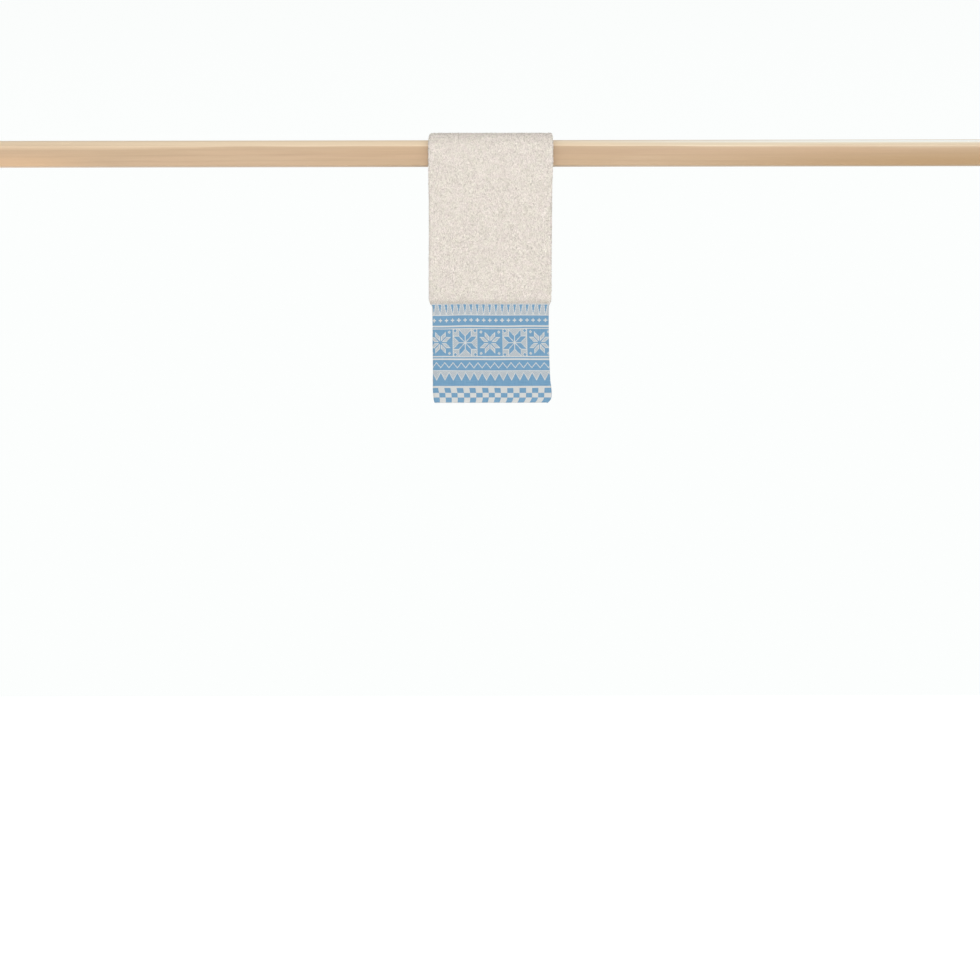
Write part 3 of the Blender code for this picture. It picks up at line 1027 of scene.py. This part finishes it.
# %% Places of the bands
Band = namedtuple("Band", "low high")
CHEQUERS = Band(0.6, 16.2)
LOW_LINE = Band(18.6, 22.6)
LOW_TEETH = Band(22.4, 32.6)
ZIGZAG = Band(35.4, 46.9)
UNDER_LINE = Band(48.6, 50.0)
STARS = Band(51.2, 80.4)
OVER_LINE = Band(81.6, 83.0)
CROSSES = Band(84.6, 95.6)
HIGH_TEETH = Band(97.4, 107.4)
ZIGZAG_MIDDLE, STAR_MIDDLE, CROSS_MIDDLE = 41.1, 65.8, 90.1
WEFT_WANDER = 1.5  # mm, from crest to trough

border, tree, shader = start_finish("woven_border", roughness=0.85)
fine_across, fine_along = cloth_millimetres(tree)
uv = add_node(tree, "ShaderNodeUVMap", uv_map="cloth").outputs["UV"]
fine_along = fine_along + (noise(tree, uv, scale=16, detail=1.0) - 0.5) * WEFT_WANDER
across = maths("SNAP", fine_across, THREAD) + THREAD / 2
along = maths("SNAP", fine_along, PICK) + PICK / 2
print("the border's bands end", HIGH_TEETH.high, "mm above the hem's edge")

# %% From the hem to the stars
hem_chequers = chequers(across, along, *CHEQUERS, width=SMALL_REPEAT, rows_high=3)
low_teeth = teeth(across, along, *LOW_TEETH, repeat=REPEAT / 3, width=REPEAT * 0.4)
zigzag_line = zigzag(
    across, along, ZIGZAG_MIDDLE, swing=2.8, repeat=REPEAT / 3, width=1.3
)
low_band = most(band(along, *ZIGZAG), 0 - zigzag_line)
in_pale_box = maths("PINGPONG", across, REPEAT) - REPEAT / 2
blue_star = stars(across, along, STAR_MIDDLE, radius=13.4, split=0.8)
pale_star = stars(across, along, STAR_MIDDLE, radius=12.0, split=1.2)
blue_box = most(0 - pale_star, 0 - in_pale_box, band(along, *STARS))
star_boxes = least(most(blue_star, in_pale_box), blue_box)

# %% From the stars to the pile, and all together
cross_row = crosses(
    across, along, CROSS_MIDDLE, arm=2.1, width=1.2, repeat=SMALL_REPEAT
)
high_band = most(band(along, *CROSSES), 0 - cross_row)
high_teeth = teeth(
    across,
    along,
    foot=HIGH_TEETH.high,
    tip=HIGH_TEETH.low,
    repeat=SMALL_REPEAT,
    width=SMALL_REPEAT * 0.48,
)
lines = [band(along, *line) for line in (LOW_LINE, UNDER_LINE, OVER_LINE)]
motifs = least(hem_chequers, low_teeth, low_band, star_boxes, high_band, high_teeth, *lines)
print("the motifs take", len(tree.nodes), "nodes")

# %% [markdown]
# Now each crossing of two threads gets its colour: blue yarn inside a motif, clean cream in the
# outline round it and in the hem, and on the rest of the ground a cream in which three crossings
# of ten let the blue yarn below show through. The count of threads decides which three.

# %% Yarn colours of the border, with painted shade of the threads
OUTLINE = 0.9  # mm of clean cream round each motif
SLUB_SLOPE, SLUB_SHADE, THREAD_SHADE = (0.38, 0.62), 0.65, 0.30
GROUND_SHADE, DULL_SHADE = 0.6, 0.4
BLUE_SHARE = 0.96  # a little cream shines through the blue
SHOWING = 0.3  # share of the ground's crossings where the blue yarn shows
WEAVE_DEPTH = 0.00018  # metres of relief
THREAD_RELIEF, BLUE_RELIEF, SLUB_RELIEF = 0.9, 0.4, 0.5  # shares of that depth

is_blue = maths("LESS_THAN", motifs, 0.0)
in_outline = maths("LESS_THAN", motifs, OUTLINE)
in_hem = maths("LESS_THAN", along, LOW_LINE.low)
warp_number = maths("FLOOR", fine_across * (1 / THREAD))
pick_number = maths("FLOOR", fine_along * (1 / PICK))
# The steps of 3 and 2 scatter the crossings, and 0.05 keeps them clear of rounding.
tenth = maths("FRACT", (warp_number * 3 + pick_number * 2) * 0.1 + 0.05)
shows_through = maths("LESS_THAN", tenth, SHOWING)
on_ground = 1 - most(in_outline, in_hem)
threads = weave_height(fine_across, fine_along)
slub = slubs(tree)
# The threads' rise is painted on: lighter tops and darker dips between threads, which is painted
# light and shade; the slubs add the yarn's own streaky tone. On the ground, away from the outline,
# the cream is painted darker still, as painted shade of the threads.
shade = ramp(slub, *SLUB_SLOPE) * SLUB_SHADE + threads * THREAD_SHADE
blue_yarn = mixed(shade, BLUE, BLUE_PALE_AND_LIT)
painted_cream_shade = on_ground * GROUND_SHADE + (1 - shade) * DULL_SHADE
with_ground = mixed(on_ground * shows_through, mixed(painted_cream_shade, CREAM, CREAM_SHADE), BLUE_GREY)
colour = mixed(is_blue * BLUE_SHARE, with_ground, blue_yarn)
tree.links.new(colour, shader.inputs["Base Color"])
shader.inputs["Sheen Weight"].default_value = 0.15
shader.inputs["Sheen Roughness"].default_value = 0.5
relief = threads * THREAD_RELIEF + is_blue * BLUE_RELIEF + slub * SLUB_RELIEF
add_bump(tree, shader, relief, distance=WEAVE_DEPTH, strength=0.9)
print("the border is drawn with", len(tree.nodes), "nodes")

# %% [markdown]
# The far end of the towel, behind the rail, has the same kind of flat weave, left plain. Under the
# loops the ground cloth is only seen as the shade between them, so it is painted dark, as painted
# shade, with lumps as long as a loop that look like more yarn lying deep in the pile. The painted
# shade is darkest where the pile ends.

# %% Plain weave
PLAIN_SLUB_SHADE, PLAIN_THREAD_SHADE = 0.7, 0.3
PLAIN_SLUB_RELIEF = 0.8

plain, tree, shader = start_finish("plain_weave", roughness=0.88)
fine_across, fine_along = cloth_millimetres(tree)
slub = slubs(tree)
threads = weave_height(fine_across, fine_along)
# Painted light and shade of the weave: the threads' tops lighter and the dips between them darker,
# with the slubs' own streaky tone.
shade = ramp(slub, *SLUB_SLOPE) * PLAIN_SLUB_SHADE + threads * PLAIN_THREAD_SHADE
tree.links.new(mixed(shade, CREAM_WARM_AND_SHADED, CREAM_PALE_AND_LIT), shader.inputs["Base Color"])
shader.inputs["Sheen Weight"].default_value = 0.15
relief = threads + slub * PLAIN_SLUB_RELIEF
add_bump(tree, shader, relief, distance=WEAVE_DEPTH, strength=0.9)
print("the plain weave takes", len(tree.nodes), "nodes")

# %% Ground under the loops
EDGE_REACH = 0.0060  # from the pile's end, over which the loops get lower and the painted shade deeper
DEEP_LOOPS = (1250, 620, 1)  # lumps 0.8 mm wide and 1.6 mm long, as the lowest yarns look
LUMP_SLOPE, LUMP_HEIGHT = (0.20, 0.80), 0.0003

under, tree, shader = start_finish("ground_under_pile", roughness=0.95)
uv = add_node(tree, "ShaderNodeUVMap", uv_map="cloth").outputs["UV"]
lumps = noise(tree, stretched(tree, uv, DEEP_LOOPS), scale=1.0, detail=1.0)
lumps = ramp(lumps, *LUMP_SLOPE)
across, along = cloth_millimetres(tree)
from_end = least(along - FRONT_PILE * 1000, BACK_PILE * 1000 - along)
# The ground is painted dark as painted shade between the loops, and darkest at the pile's end.
colour = mixed(ramp(from_end, EDGE_REACH * 1000, 0), mixed(lumps, PILE_GAP_SHADE, ECRU), PILE_GAP_SHADE)
tree.links.new(colour, shader.inputs["Base Color"])
shader.inputs["Sheen Weight"].default_value = 0.2
add_bump(tree, shader, lumps, distance=LUMP_HEIGHT, strength=0.6)

for finish in (plain, border, under):
    towel.data.materials.append(finish)
print("the sheet wears", [finish.name for finish in towel.data.materials])

# %% [markdown]
# ## One terry loop
#
# Terry is a carpet of tiny arches of yarn. We model one: a circle of three points, swept half a
# turn with Spin, is an arch of 18 triangles, and smooth shading makes it look round. Thousands of
# copies follow, so it has to stay this simple. Its two ends have no caps, because they stand
# inside the cloth. Four arches, bent in different ways, are enough that no pattern shows. Each
# gets a map that unrolls it into a small square, so that its colours can later be painted on a
# texture without one loop's paint falling on another's.

# %% Loop models
# The yarn's own radius and the arch's, how far its top leans and slides, and its height factor.
Arch = namedtuple("Arch", "name yarn radius lean slide stretch")
LOOPS = (
    Arch("loop_upright", 0.00032, 0.00060, 0.00010, 0.00000, 1.05),
    Arch("loop_leaning", 0.00032, 0.00060, 0.00050, 0.00014, 0.92),
    Arch("loop_curled", 0.00032, 0.00060, -0.00036, 0.00034, 0.98),
    Arch("loop_low", 0.00032, 0.00060, 0.00018, -0.00038, 0.82),
)
ARCH_SPANS = 3
ARCH_SIDES = 3
CELL_FILL = 0.9  # of each loop's square on the map


def model_arch(shape):
    """A circle swept half a turn, then leaned, slid and stretched more the higher it rises."""
    bpy.ops.object.select_all(action="DESELECT")
    bpy.ops.mesh.primitive_circle_add(
        vertices=ARCH_SIDES, radius=shape.yarn, location=(shape.radius, 0, 0), calc_uvs=False
    )
    arch = bpy.context.object
    arch.name = shape.name
    bpy.ops.object.transform_apply(location=True, rotation=True, scale=True)
    bpy.ops.object.mode_set(mode="EDIT")
    bpy.ops.mesh.select_all(action="SELECT")
    bpy.ops.mesh.spin(steps=ARCH_SPANS, angle=math.pi, center=(0, 0, 0), axis=(0, 1, 0))
    bpy.ops.mesh.select_all(action="SELECT")
    bpy.ops.mesh.normals_make_consistent(inside=False)
    bpy.ops.object.mode_set(mode="OBJECT")
    unroll(arch)
    top = max(vert.co.z for vert in arch.data.vertices)
    for vert in arch.data.vertices:
        rise = abs(vert.co.z) / top
        vert.co.y += shape.lean * rise
        vert.co.x += shape.slide * rise * rise
        vert.co.z = abs(vert.co.z) * shape.stretch
    bpy.ops.object.shade_smooth()
    return arch


def unroll(arch):
    """Maps the arch's length and its girth to the two sides of a square."""
    unrolled = arch.data.uv_layers.new(name="OFBake")
    for face in arch.data.polygons:
        sides = [index % ARCH_SIDES for index in face.vertices]
        round_seam = max(sides) - min(sides) > 1
        for corner, index in zip(face.loop_indices, face.vertices):
            ring, side = divmod(index, ARCH_SIDES)
            if round_seam and side == 0:
                side = ARCH_SIDES
            unrolled.data[corner].uv = (
                ring / ARCH_SPANS * CELL_FILL,
                side / ARCH_SIDES * CELL_FILL,
            )


arches = [model_arch(shape) for shape in LOOPS]
stock = bpy.data.collections.new("terry_loops")
for arch in arches:
    for collection in arch.users_collection:
        collection.objects.unlink(arch)
    stock.objects.link(arch)
print("a loop has", len(arches[0].data.polygons), "faces")

# %% [markdown]
# ## Planting the pile
#
# A grid laid on the cloth has one point for each loop. Geometry Nodes nudges every point, puts
# one of the four arches on it and stands it up along the surface's own direction. The yarn of a
# loop runs along the cloth in the loom, so the arches lie lengthwise, which gives terry its faint
# upright marks. Each is then turned, tipped and scaled a little at random, and keeps a random
# number called `yarn` for its colour. Realize Instances turns all the copies into one plain mesh.
# Each copy also gets its own small square of the texture map, from its number in the grid. Where
# the pile ends, at the borders, a weaver draws the loops shorter and gravity bends them over the
# edge, so each grid carries a number called `edge`, which is 1 at the pile's end and fades
# inwards. It lowers and tips the loops here, and in the pile's finish it paints them darker, as
# painted shade.

# %% Node helpers for planting
# The most that a loop is nudged in metres, and tipped and turned in radians, and its sizes.
Planting = namedtuple("Planting", "nudge tip spin smallest largest")
EDGE_FALL = 0.9  # how far the last loops hang down over the pile's end
EDGE_SHORT = 0.15  # and how much smaller they are
ALONG_WARP = math.pi / 2  # the turn that lays an arch lengthwise, as its yarn runs in the loom


def random_value(tree, kind, low, high, seed):
    """A Random Value node's output: kind is FLOAT, INT or FLOAT_VECTOR."""
    low_socket, high_socket, output = {
        "FLOAT_VECTOR": (0, 1, 0), "FLOAT": (2, 3, 1), "INT": (4, 5, 2)
    }[kind]
    node = add_node(
        tree,
        "FunctionNodeRandomValue",
        {low_socket: low, high_socket: high, "Seed": seed},
        data_type=kind,
    )
    return node.outputs[output]


def store(tree, geometry, name, value, data_type, domain):
    """Writes the value to an attribute, and gives the geometry that carries it."""
    node = add_node(
        tree, "GeometryNodeStoreNamedAttribute", data_type=data_type, domain=domain
    )
    for socket, given in (("Geometry", geometry), ("Name", name), ("Value", value)):
        fill(tree, node.inputs[socket], given)
    return node.outputs[0]


def read(tree, name):
    """An attribute of the points, as a node's output."""
    node = add_node(
        tree, "GeometryNodeInputNamedAttribute", {"Name": name}, data_type="FLOAT_VECTOR"
    )
    return node.outputs[0]


def vector_maths(tree, operation, a, b):
    """A Vector Math node over two vectors, and its first output."""
    node = add_node(tree, "ShaderNodeVectorMath", {0: a, 1: b}, operation=operation)
    return node.outputs[0]


# %% Planting with Geometry Nodes


def plant(bed, columns, planting, seed):
    """Replaces the bed's faces with copies of the stock's arches, one on each point."""
    tree = bpy.data.node_groups.new("planting", "GeometryNodeTree")
    for way in ("INPUT", "OUTPUT"):
        tree.interface.new_socket("Geometry", in_out=way, socket_type="NodeSocketGeometry")
    start = add_node(tree, "NodeGroupInput")
    nudge = (planting.nudge,) * 3
    nudged = random_value(tree, "FLOAT_VECTOR", tuple(-n for n in nudge), nudge, seed)
    moved = add_node(
        tree, "GeometryNodeSetPosition", {"Geometry": start.outputs[0], "Offset": nudged}
    )
    normal = add_node(tree, "GeometryNodeInputNormal").outputs[0]
    fallen = vector_maths(tree, "MULTIPLY", read(tree, "edge"), (0, 0, -EDGE_FALL))
    outward = vector_maths(tree, "ADD", normal, fallen)
    upright = add_node(tree, "FunctionNodeAlignRotationToVector", {"Vector": outward}, axis="Z")
    tip = planting.tip
    least_turn = (-tip, -tip, ALONG_WARP - planting.spin)
    most_turn = (tip, tip, ALONG_WARP + planting.spin)
    angles = random_value(tree, "FLOAT_VECTOR", least_turn, most_turn, seed + 1)
    tipped = add_node(tree, "FunctionNodeEulerToRotation", {"Euler": angles})
    turned = add_node(
        tree,
        "FunctionNodeRotateRotation",
        {"Rotation": upright.outputs[0], "Rotate By": tipped.outputs[0]},
        rotation_space="LOCAL",
    )
    size = random_value(tree, "FLOAT", planting.smallest, planting.largest, seed + 2)
    size = Field(tree, size) * (1 - Field(tree, read(tree, "edge")) * EDGE_SHORT)
    models = add_node(
        tree,
        "GeometryNodeCollectionInfo",
        {"Collection": stock, "Separate Children": True, "Reset Children": True},
    )
    copies = add_node(
        tree,
        "GeometryNodeInstanceOnPoints",
        {
            "Points": moved.outputs[0],
            "Instance": models.outputs[0],
            "Pick Instance": True,
            "Instance Index": random_value(tree, "INT", 0, len(arches) - 1, seed + 3),
            "Rotation": turned.outputs[0],
            "Scale": size.socket,
        },
    )
    yarn = random_value(tree, "FLOAT", 0.0, 1.0, seed + 4)
    marked = store(tree, copies.outputs[0], "yarn", yarn, "FLOAT", "INSTANCE")

    lines = len(bed.data.vertices) // columns
    number = Field(tree, add_node(tree, "GeometryNodeInputIndex").outputs[0])
    line = maths("FLOOR", (number + 0.5) * (1 / columns))
    cell = add_node(
        tree,
        "ShaderNodeCombineXYZ",
        {"X": (number - line * columns) * (1 / columns), "Y": line * (1 / lines)},
    )
    marked = store(tree, marked, "cell", cell.outputs[0], "FLOAT_VECTOR", "INSTANCE")
    real = add_node(tree, "GeometryNodeRealizeInstances", {"Geometry": marked})
    own = vector_maths(tree, "MULTIPLY", read(tree, "OFBake"), (1 / columns, 1 / lines, 0))
    unrolled = vector_maths(tree, "ADD", read(tree, "cell"), own)
    mapped = store(tree, real.outputs[0], "OFBake", unrolled, "FLOAT2", "CORNER")
    tree.links.new(mapped, add_node(tree, "NodeGroupOutput").inputs[0])

    modifier = bed.modifiers.new("planting", "NODES")
    modifier.node_group = tree
    bpy.ops.object.select_all(action="DESELECT")
    bed.select_set(True)
    bpy.context.view_layer.objects.active = bed
    bpy.ops.object.modifier_apply(modifier=modifier.name)
    bpy.data.node_groups.remove(tree)
    bed.data.attributes.remove(bed.data.attributes["cell"])


# %% [markdown]
# The yarn is a blend: most loops are ecru, some are greyer oat, and the two run into each other in
# small clouds that are longer down the warp. The ecru itself drifts between a rosy and a straw
# tone. Some areas are more lively than others, as in a towel that has been washed and brushed by
# hand. Cotton scatters light in its fuzz, which Sheen stands for.

# %% Pile finish
CLOUD_STRETCH = (1.45, 1, 0.70)  # patches of like loops are longer down the warp
LIVELY_SLOPE, LEAST_LIVELY, LIVELY_SWING = (0.35, 0.65), 0.75, 0.5
YARN_SHARE, CLOUD_SHARE, DRIFT_SHARE = 0.50, 0.62, 0.15  # of each in a loop's greyness
GREY_SLOPE = (-0.445, 0.720)  # from all ecru to all oat
TINT_SLOPE = (0.35, 0.65)
EDGE_PAINTED_SHADE = 0.40  # how much darker the last loops are painted, as painted shade

pile_finish, tree, shader = start_finish("terry_pile", roughness=0.92)
yarn = add_node(tree, "ShaderNodeAttribute", attribute_name="yarn").outputs["Fac"]
place = add_node(tree, "ShaderNodeTexCoord").outputs["Object"]
cloud = noise(tree, stretched(tree, place, CLOUD_STRETCH), scale=370, roughness=0.6)
drift = noise(tree, place, scale=95, detail=1.0)
lively = ramp(noise(tree, place, scale=34, detail=1.0), *LIVELY_SLOPE)
lively = lively * LIVELY_SWING + LEAST_LIVELY
mottle = (Field(tree, yarn) - 0.5) * YARN_SHARE + (cloud - 0.5) * CLOUD_SHARE
greyness = ramp(mottle * lively + (drift - 0.5) * DRIFT_SHARE, *GREY_SLOPE)
tint = ramp(noise(tree, place, scale=190, detail=3.0, roughness=0.7), *TINT_SLOPE)
colour = mixed(greyness, mixed(tint, ECRU_ROSY, ECRU_STRAW), OAT_YARN_AND_SHADE)
# The last loops at the pile's end are painted darker, as painted shade.
edge = add_node(tree, "ShaderNodeAttribute", attribute_name="edge").outputs["Fac"]
colour = mixed(Field(tree, edge) * EDGE_PAINTED_SHADE, colour, OAT_YARN_AND_SHADE)
tree.links.new(colour, shader.inputs["Base Color"])
shader.inputs["Sheen Weight"].default_value = 0.25
shader.inputs["Sheen Roughness"].default_value = 0.45
print("the pile is coloured with", len(tree.nodes), "nodes")

# %% [markdown]
# The outer side of the towel is planted in four pieces, from the border over the rail to the back
# band, so that no single mesh grows too large. The innermost layer's side, which faces the rail,
# gets bigger loops set wider apart, because little of it is ever seen. Round a fold the outer face
# is longer than the cloth's middle, so more loops fit there, and the spacing allows for that.

# %% Where the loops stand
EDGE_OUT = 0.0004  # by which the first row of loops stands past the pile's end
EDGE_CLOSER = 1.2  # the last rows stand more than twice as close
EDGE_CURVE = 1.5  # above 1, so that the effect fades fast at first
FOLDS = (1, 3)  # the zones that turn, where the outer face is longer than the cloth's middle
LOOP_MIDDLE = 0.0009  # from the cloth's middle to half way up its loops

Stretch = namedtuple("Stretch", "zone start end")


def loop_places(gap, stretches):
    """Places across the cloth, about this far apart, through these stretches of its zones."""
    found = []
    for zone, start, end in stretches:
        round_fold = math.pi * LOOP_MIDDLE if zone in FOLDS else 0
        count = max(1, round((ZONE_WIDTHS[zone] + round_fold) * (end - start) / gap))
        found += [zone + between(start, end, i / count) for i in range(count)]
    return found


def edge_share(along):
    """1 where the pile ends and 0 well inside it."""
    inside = min(along - FRONT_PILE, BACK_PILE - along)
    return min(max(1 - inside / EDGE_REACH, 0), 1) ** EDGE_CURVE


def loop_rows(gap, off_middle):
    """Distances for rows of loops that stand evenly on a layer this far off the middle one."""
    stretch = (BEND + off_middle) / BEND
    first, last = FRONT_PILE - EDGE_OUT, BACK_PILE + EDGE_OUT
    bends = ((FRONT_LEG, TOP_START), (TOP_END, BACK_LEG_START))
    found = [first]
    while found[-1] < last:
        in_bend = any(start < found[-1] < end for start, end in bends)
        closeness = 1 + edge_share(found[-1]) * EDGE_CLOSER
        found.append(found[-1] + gap / (closeness * (stretch if in_bend else 1)))
    return found[:-1]


# %% Pile pieces
LOOP_GAP = 0.00126  # from one loop to the next
INNER_LOOP_GAP = 0.00240  # and on the side that faces the rail
ROOT_SINK = 0.00010  # by which a loop's ends stand in the ground
ROOT_LIFT = GROUND / 2 - ROOT_SINK
LAYER_PITCH = TERRY.layer + TERRY.gap
TURNED_IN = 0.06  # share of the middle layer that shows behind the right fold
OUTER_STRETCHES = [*(Stretch(zone, 0, 1) for zone in (1, 2, 3)), Stretch(4, 0, TURNED_IN)]
INNER_STRETCHES = [Stretch(0, SELVEDGE_PLACES[0], 1)]
OUTSIDE = Planting(nudge=0.00030, tip=0.55, spin=0.35, smallest=0.85, largest=1.15)
INSIDE = Planting(nudge=0.00055, tip=0.50, spin=math.pi / 2, smallest=1.20, largest=1.50)
SEED_STEP = 10  # more than the random values that one piece draws
INSIDE_SEED = 50


def pile_piece(name, rows, gap, stretches, planting, seed):
    """Lays a grid on the cloth, plants an arch on each of its points and gives the piece."""
    across = loop_places(gap, stretches)
    bed = cloth_grid(name, rows, across, ROOT_LIFT)
    count = len(bed.data.vertices)
    edge = bed.data.attributes.new("edge", "FLOAT", "POINT")
    edge.data.foreach_set("value", np.repeat([edge_share(along) for along in rows], len(across)))
    plant(bed, len(across), planting, seed)
    bed.data.materials.clear()
    bed.data.materials.append(pile_finish)
    print(f"{name}: {count} loops, {len(bed.data.polygons)} faces")
    return bed


names = ("pile_front_low", "pile_front_high", "pile_over_rail", "pile_back")
outer_rows = loop_rows(LOOP_GAP, LAYER_PITCH)
ends = [number * len(outer_rows) // len(names) for number in range(len(names) + 1)]
piles = []
for number, name in enumerate(names):
    rows = outer_rows[ends[number] : ends[number + 1]]
    seed = SEED_STEP * number
    piles.append(pile_piece(name, rows, LOOP_GAP, OUTER_STRETCHES, OUTSIDE, seed))
rows = loop_rows(INNER_LOOP_GAP, -LAYER_PITCH)
piles.append(
    pile_piece("pile_inside", rows, INNER_LOOP_GAP, INNER_STRETCHES, INSIDE, INSIDE_SEED)
)
for arch in arches:
    bpy.data.objects.remove(arch)

# %% [markdown]
# ## Hem stitches
#
# Each end of the towel is turned up and sewn through. A stitch is a short length of thread that
# rises from one needle hole and dives into the next: the same arch as a loop, made longer and
# flatter. We model it once, then stand a copy at every stitch along both hems.

# %% Stitches
STITCH = Arch("hem_stitches", 0.00016, 0.00100, 0.0, 0.0, 0.26)
STITCH_GAP = 0.0026  # from one stitch to the next
STITCH_SINK = 0.00008  # by which its ends stand in the cloth
HEM_LINES = (0.0175, 0.5825)  # along the cloth
FLAT_PARTS = [Stretch(zone, 0.02, 0.98) for zone in (0, 2, 4)]  # not round the folds
ABOVE, ASIDE = 0.001, 0.01  # small steps off the cloth and across it, to find directions


def stand_copy(model, section, place):
    """A copy of the model on the cloth's outer face, its length across the cloth."""
    lift = section.cloth.layer / 2 - STITCH_SINK
    here = Vector(on_cloth(section, place, lift))
    up = (Vector(on_cloth(section, place, lift + ABOVE)) - here).normalized()
    ahead = Vector(on_cloth(section, place + ASIDE, lift)) - here
    side = (ahead - up * ahead.dot(up)).normalized()
    copy = model.copy()
    copy.data = model.data.copy()
    stance = Matrix((side, up.cross(side), up)).transposed().to_4x4()
    copy.data.transform(Matrix.Translation(here) @ stance)
    bpy.context.scene.collection.objects.link(copy)
    return copy


stitch = model_arch(STITCH)
copies = [
    stand_copy(stitch, section_at(line), place)
    for line in HEM_LINES
    for place in loop_places(STITCH_GAP, FLAT_PARTS)
]
bpy.data.objects.remove(stitch)
bpy.ops.object.select_all(action="DESELECT")
for copy in copies:
    copy.select_set(True)
bpy.context.view_layer.objects.active = copies[0]
bpy.ops.object.join()
stitches = bpy.context.object
stitches.name = "hem_stitches"
stitches.data.uv_layers.remove(stitches.data.uv_layers["OFBake"])

# %% Sewing thread
thread_finish, tree, shader = start_finish("sewing_thread", roughness=0.6)
place = add_node(tree, "ShaderNodeTexCoord").outputs["Object"]
twist = noise(tree, place, scale=1800, detail=1.0)
tree.links.new(mixed(twist, CREAM, ECRU), shader.inputs["Base Color"])
shader.inputs["Sheen Weight"].default_value = 0.1
stitches.data.materials.append(thread_finish)
print("stitches:", len(copies), "with", len(stitches.data.polygons), "faces")

# %% [markdown]
# ## Who rides on what
#
# The object is one body, so every piece rides on `root`: the sheet, which stands for the imported
# towel, and its loops and stitches. The imported towel is hidden.

for piece in (towel, stitches, *piles):
    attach(piece, "root")
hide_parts("towel")
